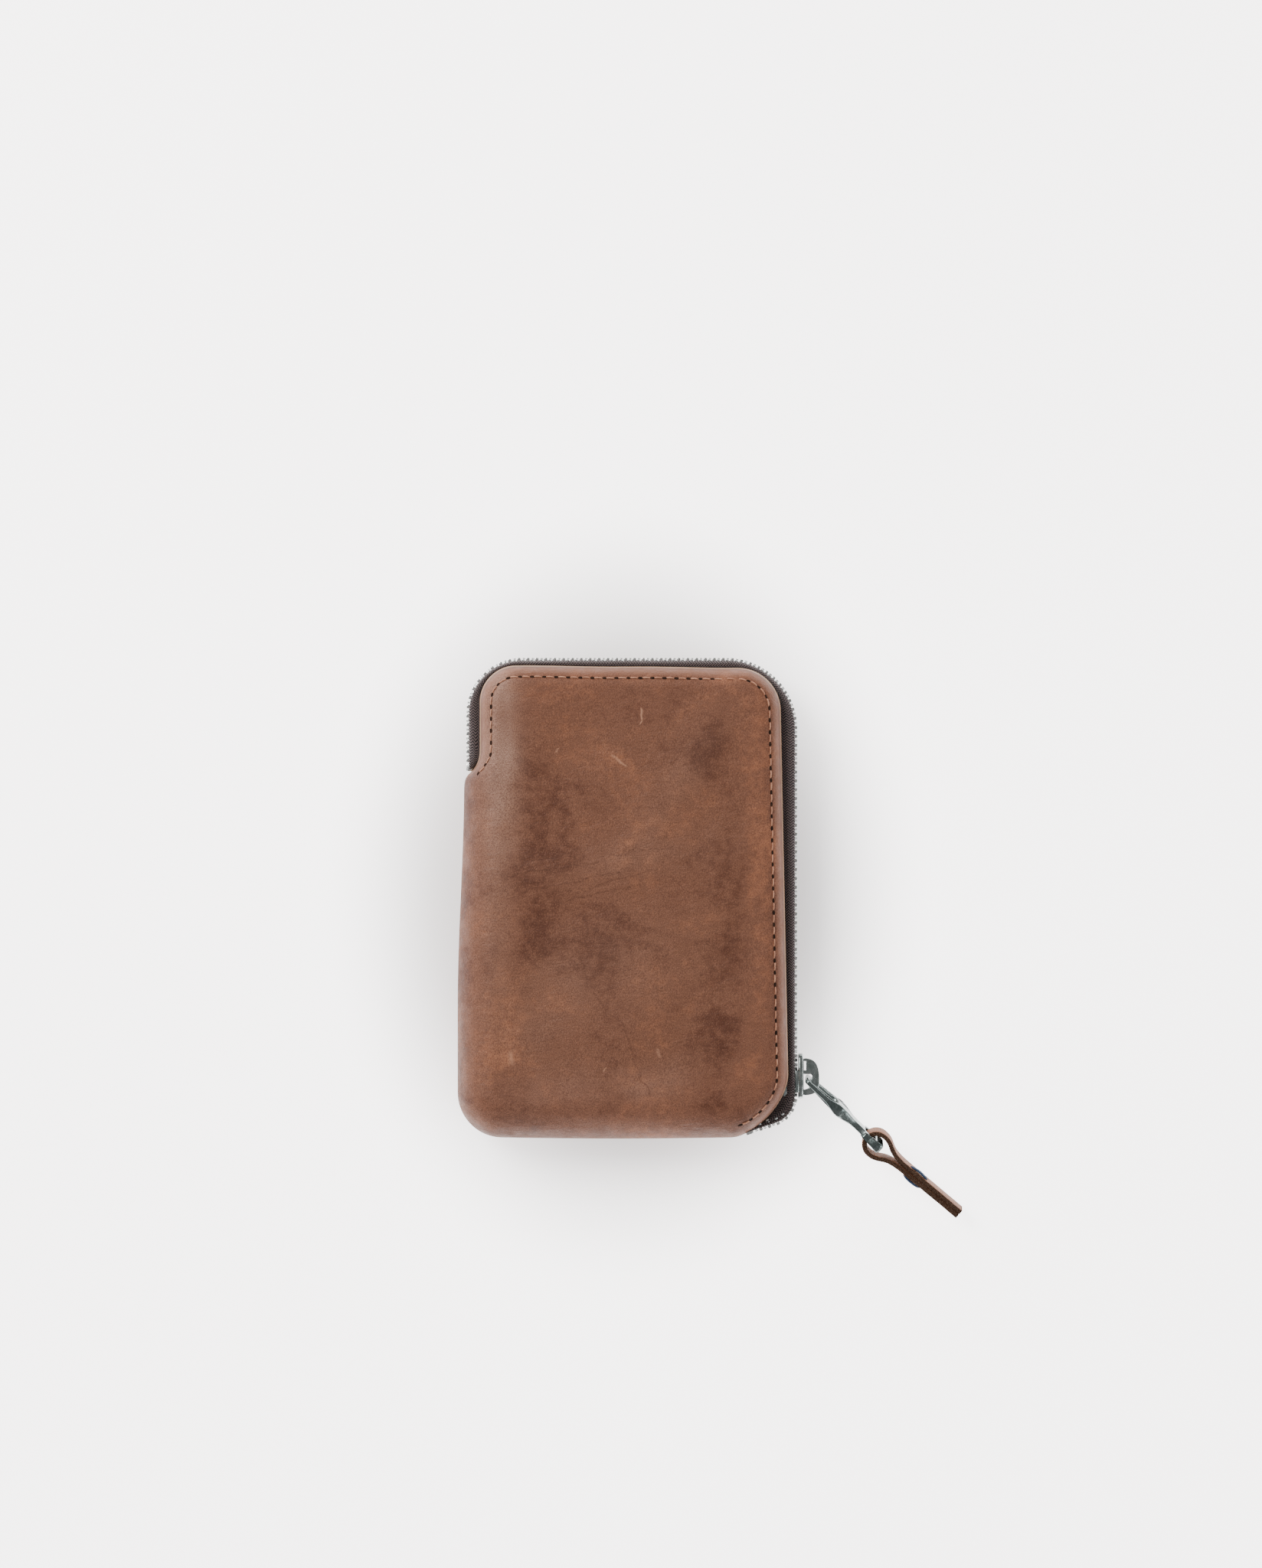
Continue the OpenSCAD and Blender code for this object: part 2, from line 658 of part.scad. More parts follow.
// A strip folded back on itself round the pull's end
module leather_strap() {
    outer = loop_r + strap_t;
    neck = 3.6;
    color("saddlebrown") strap_frame() difference() {
        union() {
            cylinder(r = outer, h = strap_w, center = true);
            translate([0, 0, -strap_w / 2]) linear_extrude(strap_w) polygon([
                [outer * 0.55, outer * 0.82], [neck, strap_t * 1.25], [neck + 2.2, strap_t],
                [strap_l - 0.3, strap_t], [strap_l, strap_t - 0.3], [strap_l, -strap_t + 0.3],
                [strap_l - 0.3, -strap_t], [neck + 2.2, -strap_t], [neck, -strap_t * 1.25],
                [outer * 0.55, -outer * 0.82]]);
        }
        cylinder(r = loop_r, h = strap_w + 2, center = true);
    }
}

// Two loops of thread that hold the strap's layers together
module strap_knot() {
    color("midnightblue") strap_frame()
        for (x = [10.5, 13.5], side = [-1, 1])
            translate([x, side * (strap_t + thread_d / 2 + fit_gap), 0])
                rotate([0, 90, 0]) cylinder(d = thread_d, h = 2.6, center = true);
}

back_panel();
spine_fold();
front_panel_fixed();
front_panel_flap();
seam_allowance_back();
seam_allowance_front();
seam_thread();
card_pocket();
stitches_back();
stitches_front_fixed();
stitches_front_flap();
zip_tape_back();
zip_tape_front_fixed();
zip_tape_front_flap();
zip_teeth_back();
zip_teeth_front_fixed();
zip_teeth_front_flap();
zip_end_stops();
slider();
metal_pull();
leather_strap();
strap_knot();
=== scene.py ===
import json
import math

import bmesh
import bpy
import numpy as np
from mathutils import Matrix, Vector


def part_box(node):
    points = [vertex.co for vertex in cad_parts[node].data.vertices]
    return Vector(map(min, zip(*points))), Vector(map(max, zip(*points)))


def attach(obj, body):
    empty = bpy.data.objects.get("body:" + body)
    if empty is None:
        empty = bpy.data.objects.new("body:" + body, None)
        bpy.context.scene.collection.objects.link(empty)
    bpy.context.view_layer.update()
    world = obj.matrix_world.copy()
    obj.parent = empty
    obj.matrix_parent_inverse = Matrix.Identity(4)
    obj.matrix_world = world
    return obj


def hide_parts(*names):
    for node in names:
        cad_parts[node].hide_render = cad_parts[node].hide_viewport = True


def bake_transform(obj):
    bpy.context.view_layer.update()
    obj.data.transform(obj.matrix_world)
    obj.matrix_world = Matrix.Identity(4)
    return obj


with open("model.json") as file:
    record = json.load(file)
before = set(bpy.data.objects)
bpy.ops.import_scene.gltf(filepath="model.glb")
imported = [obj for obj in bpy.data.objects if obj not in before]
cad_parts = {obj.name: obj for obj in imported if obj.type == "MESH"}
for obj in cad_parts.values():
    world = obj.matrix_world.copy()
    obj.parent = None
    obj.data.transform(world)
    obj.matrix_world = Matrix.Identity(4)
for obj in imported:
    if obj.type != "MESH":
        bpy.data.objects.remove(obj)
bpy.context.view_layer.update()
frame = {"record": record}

# The looks of a small leather pouch with a zip round three of its sides. Shapes are worked out
# in millimetres in the CAD frame: +X to the zip side, +Y to the top edge, +Z up. The front cover
# is one sheet across the fold line where the real cover bends, and the back is its mirror image below.

MM = 0.001
rng = np.random.default_rng(7)


def box_mm(node):
    low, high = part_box(node)
    return [v / MM for v in low], [v / MM for v in high]


# ---------- sizes, in millimetres ----------

spine_low, spine_high = box_mm("spine_fold")
back_low, back_high = box_mm("back_panel")
teeth_low, teeth_high = box_mm("zip_teeth_back")

LEFT = spine_low[0]
BOTTOM = back_low[1]
EDGE_X = back_high[0]            # the leather's free edge on the right
EDGE_Y = back_high[1]            # the leather's free edge at the top
THICK = spine_high[2]
MID = THICK / 2
LEATHER = 1.2
SPINE_R = MID                    # the spine and the bottom are half rounds
RIM_R = 4.8                      # roll of the free edges
FREE_X = LEFT + 5.2              # the leather's free edge above the notch
SEAM_END = 24.0                  # where the bottom seam stops and the free edge starts
SPINE_LEAN = 1.5                 # the spine's outline leans in towards the notch
RIGHT_LEAN = 1.7                 # the right edge leans in towards the top
SPINE_TOP = 25.0                 # where the spine ends and the notch starts
NOTCH_Y = 34.0                   # where the free edge turns into the notch
CORNER_Y = -41.0                 # where the flattened bottom right corner starts
CORNER_POWER = 2 / 1.62          # how flat that corner is
SPINE_CORNER, TOP_CORNER, NOTCH_CORNER = 10.5, 10.0, 8.5

STITCH_INSET = 2.7
STITCH_PITCH = 2.8
THREAD_R = 0.17
HOLE_L = 1.2
HOLE_W = 0.62

TOOTH_W = 2.2
TOOTH_PITCH = 2.05
ZIP_LEFT = teeth_low[0] + TOOTH_W / 2
ZIP_RIGHT = teeth_high[0] - TOOTH_W / 2
ZIP_TOP = teeth_high[1] - TOOTH_W / 2
ZIP_BOTTOM = BOTTOM + 3.5
ZIP_TL, ZIP_TR, ZIP_BR = 11.7, 15.4, 6.2
ZIP_START = 29.8
ZIP_END_TURN = 72
ZIP_TAIL = 7.2                   # the chain's straight end towards the bottom seam
TAPE = 0.45

joints = {j["name"]: j for j in frame["record"]["behaviour"]["joints"]}
MERGE, FINE_MERGE = 0.002, 0.0005        # points nearer than this are one point


# ---------- small geometry helpers ----------

def lerp(a, b, t):
    return a + (b - a) * t


def ease(t):
    return t * t * (3 - 2 * t)


def arc(x, y, r, start, end, n):
    a = np.radians(np.linspace(start, end, n))
    return np.column_stack([x + r * np.cos(a), y + r * np.sin(a)])


def line(a, b, n):
    t = np.linspace(0, 1, n)[:, None]
    return lerp(np.array(a, float), np.array(b, float), t)


def bezier(a, b, c, d, n):
    t = np.linspace(0, 1, n)[:, None]
    a, b, c, d = (np.array(p, float) for p in (a, b, c, d))
    return a * (1 - t) ** 3 + 3 * b * t * (1 - t) ** 2 + 3 * c * t * t * (1 - t) + d * t ** 3


def lengths(path):
    return np.concatenate([[0], np.cumsum(np.linalg.norm(np.diff(path, axis=0), axis=1))])


def at_lengths(path, wanted, values=None):
    """values, or the points themselves, at these distances along a path."""
    along = lengths(path)
    values = path if values is None else values
    return np.column_stack([np.interp(wanted, along, column) for column in values.T])


def units(vectors):
    return vectors / np.maximum(np.linalg.norm(vectors, axis=1), 1e-9)[:, None]


def tangents(path):
    return units(np.gradient(path, axis=0))


def grid_faces(rows, columns, wrap_columns=False):
    index = np.arange(rows * columns).reshape(rows, columns)
    if wrap_columns:
        index = np.column_stack([index, index[:, 0]])
    quads = np.stack([index[:-1, :-1], index[:-1, 1:], index[1:, 1:], index[1:, :-1]], axis=-1)
    return quads.reshape(-1, 4).tolist()


def closed_faces(rows, columns):
    """Faces of a tube that is closed at both ends."""
    ends = [list(range(columns)), [(rows - 1) * columns + k for k in reversed(range(columns))]]
    return grid_faces(rows, columns, wrap_columns=True) + ends


def rounded_section(half_u, half_v, power_u, power_v, count):
    """Points of a closed oval; the smaller the powers, the squarer it is."""
    turn = np.linspace(0, 2 * math.pi, count, endpoint=False)
    c, s = np.cos(turn), np.sin(turn)
    return np.column_stack([half_u * np.sign(c) * np.abs(c) ** power_u,
                            half_v * np.sign(s) * np.abs(s) ** power_v])


def linked(name, data):
    obj = bpy.data.objects.new(name, data)
    bpy.context.scene.collection.objects.link(obj)
    return obj


def new_object(name, points, faces):
    mesh = bpy.data.meshes.new(name)
    mesh.from_pydata([tuple(p) for p in np.asarray(points, float) * MM], [], faces)
    mesh.polygons.foreach_set("use_smooth", [True] * len(mesh.polygons))
    return linked(name, mesh)


def points_of(obj):
    """An object's points, in millimetres."""
    return np.array([v.co for v in obj.data.vertices], float) / MM


def placed(points, matrix):
    """Points moved by a matrix, both in millimetres."""
    m = np.array(matrix)
    return points @ m[:3, :3].T + m[:3, 3]


def flip(points, up):
    """Points as they are for the front (up is 1), or mirrored for the back (up is -1)."""
    if up > 0:
        return points
    return np.array(points, float) * [1, 1, -1] + [0, 0, THICK]


def store(obj, **fields):
    for name, values in fields.items():
        values = np.asarray(values, np.float32)
        vector = values.ndim == 2
        attribute = obj.data.attributes.new(name, "FLOAT_VECTOR" if vector else "FLOAT", "POINT")
        attribute.data.foreach_set("vector" if vector else "value", values.ravel())


def clean(obj, merge=MERGE, hard=None):
    """Joins near points, turns the faces outwards, and keeps edges beyond an angle hard."""
    whole = bmesh.new()
    whole.from_mesh(obj.data)
    if merge:
        bmesh.ops.remove_doubles(whole, verts=whole.verts[:], dist=merge * MM)
    bmesh.ops.recalc_face_normals(whole, faces=whole.faces[:])
    for e in whole.edges:
        if hard and len(e.link_faces) == 2:
            e.smooth = e.calc_face_angle(0) < math.radians(hard)
    whole.to_mesh(obj.data)
    whole.free()
    obj.data.polygons.foreach_set("use_smooth", [True] * len(obj.data.polygons))


def baked(obj):
    """Applies an object's modifiers, or turns a curve into a mesh object."""
    graph = bpy.context.evaluated_depsgraph_get()
    mesh = bpy.data.meshes.new_from_object(obj.evaluated_get(graph), depsgraph=graph)
    name = obj.name
    bpy.data.objects.remove(obj)
    return linked(name, mesh)


def solidify(obj, thickness):
    modifier = obj.modifiers.new("thickness", "SOLIDIFY")
    modifier.thickness = thickness * MM
    modifier.offset = 0
    return baked(obj)


def tube_parts(path, radii, sides=8):
    """Points and faces of a closed tube along a path."""
    path = np.asarray(path, float)
    t = tangents(path)
    up = np.array([0, 0, 1.0]) if abs(t[0][2]) < 0.9 else np.array([1.0, 0, 0])
    points = []
    for place, direction, radius in zip(path, t, radii):
        side = np.cross(direction, up)
        side /= np.linalg.norm(side)
        up = np.cross(side, direction)
        turn = np.linspace(0, 2 * math.pi, sides, endpoint=False)
        points.append(place + radius * (np.cos(turn)[:, None] * side + np.sin(turn)[:, None] * up))
    return np.vstack(points), closed_faces(len(path), sides)


def joined(name, parts):
    """One object from many (points, faces) parts."""
    points, faces, start = [], [], 0
    for part_points, part_faces in parts:
        points.append(part_points)
        faces += [[i + start for i in face] for face in part_faces]
        start += len(part_points)
    return new_object(name, np.vstack(points), faces)


def bevelled_boxes(boxes, bevel):
    """Points and faces of boxes with rounded edges, each given by two corners."""
    points, faces = [], []
    for low, high in boxes:
        part = bmesh.new()
        bmesh.ops.create_cube(part, size=1)
        low, high = Vector(low), Vector(high)
        for v in part.verts:
            v.co = Vector(((low + high) / 2)[k] + v.co[k] * (high - low)[k] for k in range(3))
        bmesh.ops.bevel(part, geom=part.edges[:], offset=bevel, segments=2, profile=0.5,
                        affect="EDGES")
        start = len(points)
        part.verts.index_update()
        points += [tuple(v.co) for v in part.verts]
        faces += [[v.index + start for v in f.verts] for f in part.faces]
        part.free()
    return np.array(points), faces


def plate(name, outlines, thickness, bevel, segments=3):
    """A flat plate in the XY plane with rounded edges; outlines after the first are holes."""
    curve = bpy.data.curves.new(name, "CURVE")
    curve.dimensions = "2D"
    curve.fill_mode = "BOTH"
    curve.extrude = (thickness / 2 - bevel) * MM
    curve.bevel_depth = bevel * MM
    curve.offset = -bevel * MM
    curve.bevel_resolution = segments
    for outline in outlines:
        spline = curve.splines.new("POLY")
        spline.points.add(len(outline) - 1)
        for point, (x, y) in zip(spline.points, outline):
            point.co = (x * MM, y * MM, 0, 1)
        spline.use_cyclic_u = True
    made = baked(linked(name, curve))
    clean(made)
    return made


def parts_of(obj, matrix):
    """An object's points, moved by a matrix, and its faces. The object is removed."""
    points = placed(points_of(obj), matrix)
    faces = [list(p.vertices) for p in obj.data.polygons]
    bpy.data.objects.remove(obj)
    return points, faces


def finish_piece(obj, material, nodes, body=None):
    """Gives a piece its material and body. Without a body, its place is baked into its points."""
    obj.data.materials.clear()
    obj.data.materials.append(material)
    if "rest" not in obj.data.attributes:
        store(obj, rest=points_of(obj))
    if body is None:
        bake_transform(obj)
    else:
        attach(obj, body)
    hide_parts(*nodes)


# ---------- node materials ----------

MIX_A, MIX_B, MIX_RESULT = 6, 7, 2       # the colour sockets of a Mix node


class Paint:
    """A node material with short calls for the nodes that it uses."""

    def __init__(self, name):
        self.material = bpy.data.materials.new(name)
        self.material.use_nodes = True
        self.tree = self.material.node_tree
        self.shader = self.tree.nodes["Principled BSDF"]

    def set(self, **values):
        for name, value in values.items():
            self.plug(value, self.shader.inputs[name.replace("_", " ")])

    def plug(self, value, socket):
        if isinstance(value, bpy.types.NodeSocket):
            self.tree.links.new(value, socket)
        elif socket.type == "RGBA" and len(value) == 3:
            socket.default_value = (*value, 1)
        else:
            socket.default_value = value

    def node(self, kind, inputs, output=0, **settings):
        """One output of a new node; its inputs are given by name or number."""
        made = self.tree.nodes.new("ShaderNode" + kind)
        for name, value in settings.items():
            setattr(made, name, value)
        for key, value in inputs.items():
            self.plug(value, made.inputs[key])
        return made.outputs[output]

    def read(self, name, output="Fac"):
        return self.node("Attribute", {}, output, attribute_name=name)

    def place(self, scale=(1, 1, 1)):
        return self.node("Mapping", {"Vector": self.read("rest", "Vector"), "Scale": scale})

    def noise(self, scale, detail=2.0, roughness=0.5, stretch=(1, 1, 1), distortion=0.0):
        return self.node("TexNoise", {"Vector": self.place(stretch), "Scale": scale, "Detail": detail,
                                      "Roughness": roughness, "Distortion": distortion}, "Fac")

    def cells(self, scale, stretch=(1, 1, 1)):
        inputs = {"Vector": self.place(stretch), "Scale": scale, "Smoothness": 0.6}
        return self.node("TexVoronoi", inputs, "Distance", feature="SMOOTH_F1")

    def math(self, operation, a, b=0.0, c=0.0):
        return self.node("Math", {0: a, 1: b, 2: c}, operation=operation)

    def plus(self, a, b):
        return self.math("ADD", a, b)

    def times(self, a, b):
        return self.math("MULTIPLY", a, b)

    def vector(self, operation, output, *values):
        return self.node("VectorMath", dict(enumerate(values)), output, operation=operation)

    def fit(self, value, low, high, to_low=0.0, to_high=1.0):
        inputs = {0: value, 1: low, 2: high, 3: to_low, 4: to_high}
        return self.node("MapRange", inputs, interpolation_type="SMOOTHSTEP")

    def mix(self, share, a, b):
        return self.node("Mix", {0: share, MIX_A: a, MIX_B: b}, MIX_RESULT, data_type="RGBA")

    def bump(self, height, distance, strength=1.0, below=None):
        inputs = {"Height": height, "Distance": distance * MM, "Strength": strength}
        if below is not None:
            inputs["Normal"] = below
        return self.node("Bump", inputs)

    def near_line(self, a, b, width):
        """1 on the slightly wavy line from a to b in the XY plane, and 0 beyond width from it."""
        flat = self.place((1, 1, 0))
        ripple = self.node("TexNoise", {"Vector": flat, "Scale": 0.30, "Detail": 1.0}, "Color")
        shift = self.vector("MULTIPLY_ADD", "Vector", ripple, (2.4, 2.4, 0), (-1.2, -1.2, 0))
        flat = self.vector("ADD", "Vector", flat, shift)
        a, b = Vector((*a, 0)), Vector((*b, 0))
        from_a = self.vector("SUBTRACT", "Vector", flat, a)
        along = self.vector("DOT_PRODUCT", "Value", from_a, (b - a) / (b - a).length_squared)
        share = self.node("Clamp", {"Value": along})
        nearest = self.node("VectorMath", {0: b - a, "Scale": share}, operation="SCALE")
        gap = self.vector("DISTANCE", "Value", from_a, nearest)
        return self.fit(gap, 0.0, width, 1.0, 0.0)

    def marks(self, table):
        """The strongest of several lines, each given by its ends, half width and share."""
        strongest = 0.0
        for a, b, width, share in table:
            strongest = self.math("MAXIMUM", strongest, self.times(self.near_line(a, b, width), share))
        return strongest


def leather_paint():
    """Pull-up leather: mottled brown, fine grain, a painted highlight and sheen, painted shade in the
    creases, a burnished edge and a fibrous inside.
    """
    p = Paint("pull_up_leather")
    tone = p.read("tone")
    cloud = p.noise(0.055, 4, 0.55, distortion=0.6)
    fleck = p.noise(0.45, 4, 0.6)
    grain = p.cells(3.1, (1, 0.72, 1))
    fine = p.noise(5.5, 3, 0.65, (1, 0.6, 1))
    body = p.plus(tone, p.fit(cloud, 0.3, 0.7, -0.34, 0.34))
    body = p.plus(body, p.fit(fleck, 0.3, 0.7, -0.16, 0.16))
    colour = p.mix(p.fit(body, -0.6, 0.0), (0.092, 0.032, 0.0175), (0.186, 0.078, 0.045))
    colour = p.mix(p.fit(body, 0.0, 0.7), colour, (0.33, 0.130, 0.066))
    # painted highlight and sheen, pale grey, on what is bent or raised
    bloom = p.times(p.read("bloom"), p.fit(p.noise(0.11, 3, 0.5), 0.25, 0.75, 0.45, 1.0))
    colour = p.mix(bloom, colour, (0.385, 0.225, 0.165))
    colour = p.mix(p.fit(grain, 0.1, 0.5, 0.38, 0.0), colour, (0.30, 0.135, 0.080))
    colour = p.mix(p.fit(fine, 0.35, 0.62, 0.6, 0.0), colour, (0.060, 0.022, 0.013))
    on_front = p.fit(p.read("front"), 0.4, 0.6)
    # painted shade: the fine creases are dark lines of colour, with no relief
    crease_shade = p.times(p.marks(CREASE_SHADE_LINES), p.fit(p.noise(0.7, 2), 0.35, 0.6, 0.2, 1.0))
    colour = p.mix(p.times(crease_shade, on_front), colour, (0.070, 0.027, 0.016))
    scuffs = p.marks(SCUFFS)
    scuffs = p.times(scuffs, p.fit(p.noise(2.4, 2), 0.3, 0.6, 0.35, 1.0))
    scuffs = p.times(scuffs, on_front)
    colour = p.mix(scuffs, colour, (0.52, 0.27, 0.17))
    # towards a free edge: a greyer band, a pressed line, then the burnished cut
    edge = p.read("from_edge")
    band = p.fit(edge, 3.0, 5.4, 0.55, 0.0)
    colour = p.mix(band, colour, (0.212, 0.094, 0.056))
    groove = p.times(p.fit(edge, 1.5, 1.9), p.fit(edge, 2.1, 3.0, 1.0, 0.0))
    colour = p.mix(p.times(groove, 0.55), colour, (0.085, 0.038, 0.024))
    colour = p.mix(p.fit(edge, 1.45, 1.85, 1.0, 0.0), colour, (0.28, 0.168, 0.104))
    # the inside is the flesh side of the leather
    inside = p.read("inside")
    fibre = p.noise(1.6, 6, 0.7, (1, 1, 1))
    flesh = p.mix(p.fit(fibre, 0.3, 0.7), (0.20, 0.115, 0.07), (0.36, 0.235, 0.155))
    colour = p.mix(inside, colour, flesh)
    rough = p.fit(p.noise(0.4, 4, 0.6), 0.3, 0.7, 0.46, 0.62)
    rough = p.plus(rough, p.times(inside, 0.4))
    wrinkle = p.noise(0.32, 5, 0.62, (0.55, 1.5, 1), 0.8)
    normal = p.bump(p.plus(grain, p.times(fine, 0.7)), 0.075, 0.62)
    normal = p.bump(wrinkle, 0.42, 0.5, normal)
    p.set(Base_Color=colour, Roughness=rough, Normal=normal, Specular_IOR_Level=0.20)
    return p.material


def edge_leather_paint(name, face, fibres, specks):
    """Thick leather whose raw cut edge is dark and fibrous; the raw attribute is 1 on that edge."""
    p = Paint(name)
    raw = p.read("raw")
    grain = p.cells(3.0)
    cloud = p.noise(0.3, 4, 0.6)
    skin = p.mix(p.fit(cloud, 0.3, 0.7), tuple(0.8 * c for c in face), face)
    skin = p.mix(p.fit(grain, 0.1, 0.5, 0.3, 0.0), skin, tuple(min(1, 1.35 * c) for c in face))
    fibre = p.noise(3.2, 5, 0.75, (1, 1, 0.6))
    cut = p.mix(p.fit(fibre, 0.45, 0.75), fibres, specks)
    p.set(Base_Color=p.mix(raw, skin, cut))
    p.set(Roughness=p.fit(raw, 0.0, 1.0, 0.6, 0.9), Specular_IOR_Level=0.12)
    height = p.plus(p.times(fibre, p.fit(raw, 0, 1, 0.3, 1.6)), grain)
    p.set(Normal=p.bump(height, 0.11, 0.8))
    return p.material


def tape_paint():
    """Herringbone woven tape in dark charcoal, with paler crossings."""
    p = Paint("woven_tape")
    along, across = p.read("along"), p.read("across")
    column = 1.3
    zig = p.math("PINGPONG", p.math("DIVIDE", across, column), 0.5)
    slant = p.plus(p.math("DIVIDE", along, 0.62), p.times(zig, 1.9))
    stripe = p.math("SINE", p.times(slant, 2 * math.pi))
    weft = p.math("SINE", p.times(across, 2 * math.pi / 0.36))
    warp = p.math("SINE", p.times(along, 2 * math.pi / 0.31))
    thread = p.plus(stripe, p.times(p.times(weft, warp), 0.8))
    speck = p.noise(2.6, 3, 0.7)
    height = p.plus(thread, p.times(speck, 1.4))
    colour = p.mix(p.fit(height, 0.2, 2.2), (0.015, 0.010, 0.011), (0.24, 0.175, 0.172))
    p.set(Base_Color=colour, Roughness=0.82, Specular_IOR_Level=0.25)
    p.set(Sheen_Weight=0.25, Sheen_Roughness=0.5, Normal=p.bump(height, 0.13, 0.8))
    return p.material


def thread_paint(name, colour, pale):
    """Waxed twisted thread."""
    p = Paint(name)
    twist = p.noise(3.4, 3, 0.6)
    shade = p.noise(0.35, 2)
    base = p.mix(p.fit(shade, 0.3, 0.7), colour, pale)
    dark = tuple(0.45 * c for c in colour)
    p.set(Base_Color=p.mix(p.fit(twist, 0.3, 0.6, 0.6, 0.0), base, dark))
    p.set(Roughness=0.6, Specular_IOR_Level=0.4, Normal=p.bump(twist, 0.08, 0.7))
    return p.material


def hole_shade_paint():
    """Painted shade of a needle hole, on a dark disc that lies on the leather."""
    p = Paint("needle_hole_painted_shade")
    shade = p.fit(p.noise(1.3, 2), 0.3, 0.7)
    p.set(Base_Color=p.mix(shade, (0.012, 0.006, 0.004), (0.035, 0.016, 0.010)))
    p.set(Roughness=0.9, Specular_IOR_Level=0.1)
    return p.material


def metal_paint(name, bright, dull, low, high):
    """Plated zinc: bright, slightly dulled in places, with fine casting marks."""
    p = Paint(name)
    cloud = p.noise(0.5, 4, 0.6)
    marks = p.noise(4.0, 3, 0.6, (1, 0.35, 1))
    p.set(Base_Color=p.mix(p.fit(cloud, 0.35, 0.65), bright, dull), Metallic=1.0)
    p.set(Roughness=p.fit(marks, 0.3, 0.7, low, high), Normal=p.bump(marks, 0.02, 0.35))
    return p.material


def floor_paint():
    """Plain pale sweep, slightly warm, with a painted glow that is weaker near the pouch, which paints a
    soft shadow round it.
    """
    p = Paint("pale_floor")
    shade = p.fit(p.noise(0.002, 2), 0.3, 0.7)
    p.set(Base_Color=p.mix(shade, (0.93, 0.905, 0.90), (0.95, 0.93, 0.925)))
    p.set(Roughness=0.9, Specular_IOR_Level=0.1)
    # painted glow: the floor glows more away from the pouch, which leaves a painted shadow round it
    half_x, half_y = GLOW_OVAL
    gap = p.vector("LENGTH", "Value", p.place((1.0 / half_x, 1.0 / half_y, 0)))
    p.set(Emission_Color=(1.0, 0.965, 0.96))
    p.set(Emission_Strength=p.fit(gap, GLOW_FROM, GLOW_TO, GLOW_NEAR, GLOW_FAR))
    return p.material


# the painted glow: weak near the pouch as a painted shadow, strong far off
GLOW_NEAR, GLOW_FAR = 0.8, 4.4          # how much the floor glows near the pouch and far off
GLOW_OVAL = 52, 68                      # half sizes of the oval that the glow follows
GLOW_FROM, GLOW_TO = 0.72, 1.4          # where the glow changes, in half sizes of the oval

# Marks on the front cover: ends of each, half width and how pale it is
SCUFFS = [((3.3, 43.4), (2.8, 40.2), 0.32, 0.6), ((-3.4, 32.8), (-0.2, 30.6), 0.45, 0.5),
          ((-27.2, -36.0), (-26.6, -37.6), 1.2, 0.35),
          ((7.0, -34.8), (7.6, -36.2), 0.9, 0.35), ((-5.3, -40.2), (-4.6, -38.9), 0.3, 0.5),
          ((-16.4, 33.6), (-16.2, 34.4), 0.3, 0.4)]

# Fine creases of the front cover, drawn only as lines of painted shade: ends of each, half width and how
# dark it is
CREASE_SHADE_LINES = [((-27, 5), (-7, 8.5), 0.42, 0.5), ((-24, 1.5), (-2, 6.0), 0.38, 0.5),
           ((-18, -1), (3, 3.0), 0.42, 0.45), ((-6, 10), (11, 12), 0.38, 0.45),
           ((-22, 8.5), (-12, 11), 0.35, 0.4), ((-10, 2), (8, 7.5), 0.35, 0.4),
           ((-2, -27), (2, -37), 0.4, 0.4), ((1, -37), (5, -45), 0.35, 0.4),
           ((-12, -12), (-6, -25), 0.5, 0.35), ((14, -8), (21, -18), 0.5, 0.25)]

# Patches of tone on the front cover, the last one a painted shade along the spine's side: x, y, half
# length, half width, turn, tone (dark is negative)
TONE_AND_SHADE_PATCHES = [(29, 34, 22, 7, 88, 0.42), (31, -8, 40, 5, 88, 0.14), (24, -20, 16, 7, 80, -0.28),
           (0, 51, 34, 3, 0, 0.22), (-17, 23, 13, 7, 60, -0.34), (15, 33, 9, 5, 20, -0.26),
           (-20, -7, 12, 6, 80, -0.30), (-1, -11, 14, 8, 10, -0.16), (20, -31, 14, 7, 60, -0.20),
           (8, -49, 15, 4, 0, -0.12), (-14, -22, 9, 5, -40, 0.24), (28, -43, 7, 6, 0, 0.25),
           (-27, -37, 5, 4, 0, 0.22), (1, 21, 20, 6, 12, -0.10), (-12, -35, 18, 7, 40, 0.08),
           (4, -24, 9, 7, 0, -0.18), (9, 8, 16, 8, -15, 0.10), (-1, 15, 11, 5, 12, 0.22),
           (14, 30, 14, 6, 50, -0.14), (-22, 22, 16, 6, 88, -0.24), (-22, -8, 18, 5, 88, -0.12),
           # painted shade along the spine's rounded side
           (-38.5, 0, 60, 3.2, 90, -0.4)]

# Broad swells and hollows of the front cover: x, y, half length, half width, turn, height
SWELLS = [(11, 28, 22, 7, 57, 0.50), (-12, 34, 20, 8, 55, -0.38), (-8, 9, 26, 5, 12, 0.30),
          (-9, -2, 24, 5, 12, -0.30), (-20, -20, 20, 6, 70, -0.22), (-2, -36, 24, 8, 62, 0.32),
          (17, -22, 22, 8, 62, -0.30), (24, 8, 18, 6, 80, 0.22)]

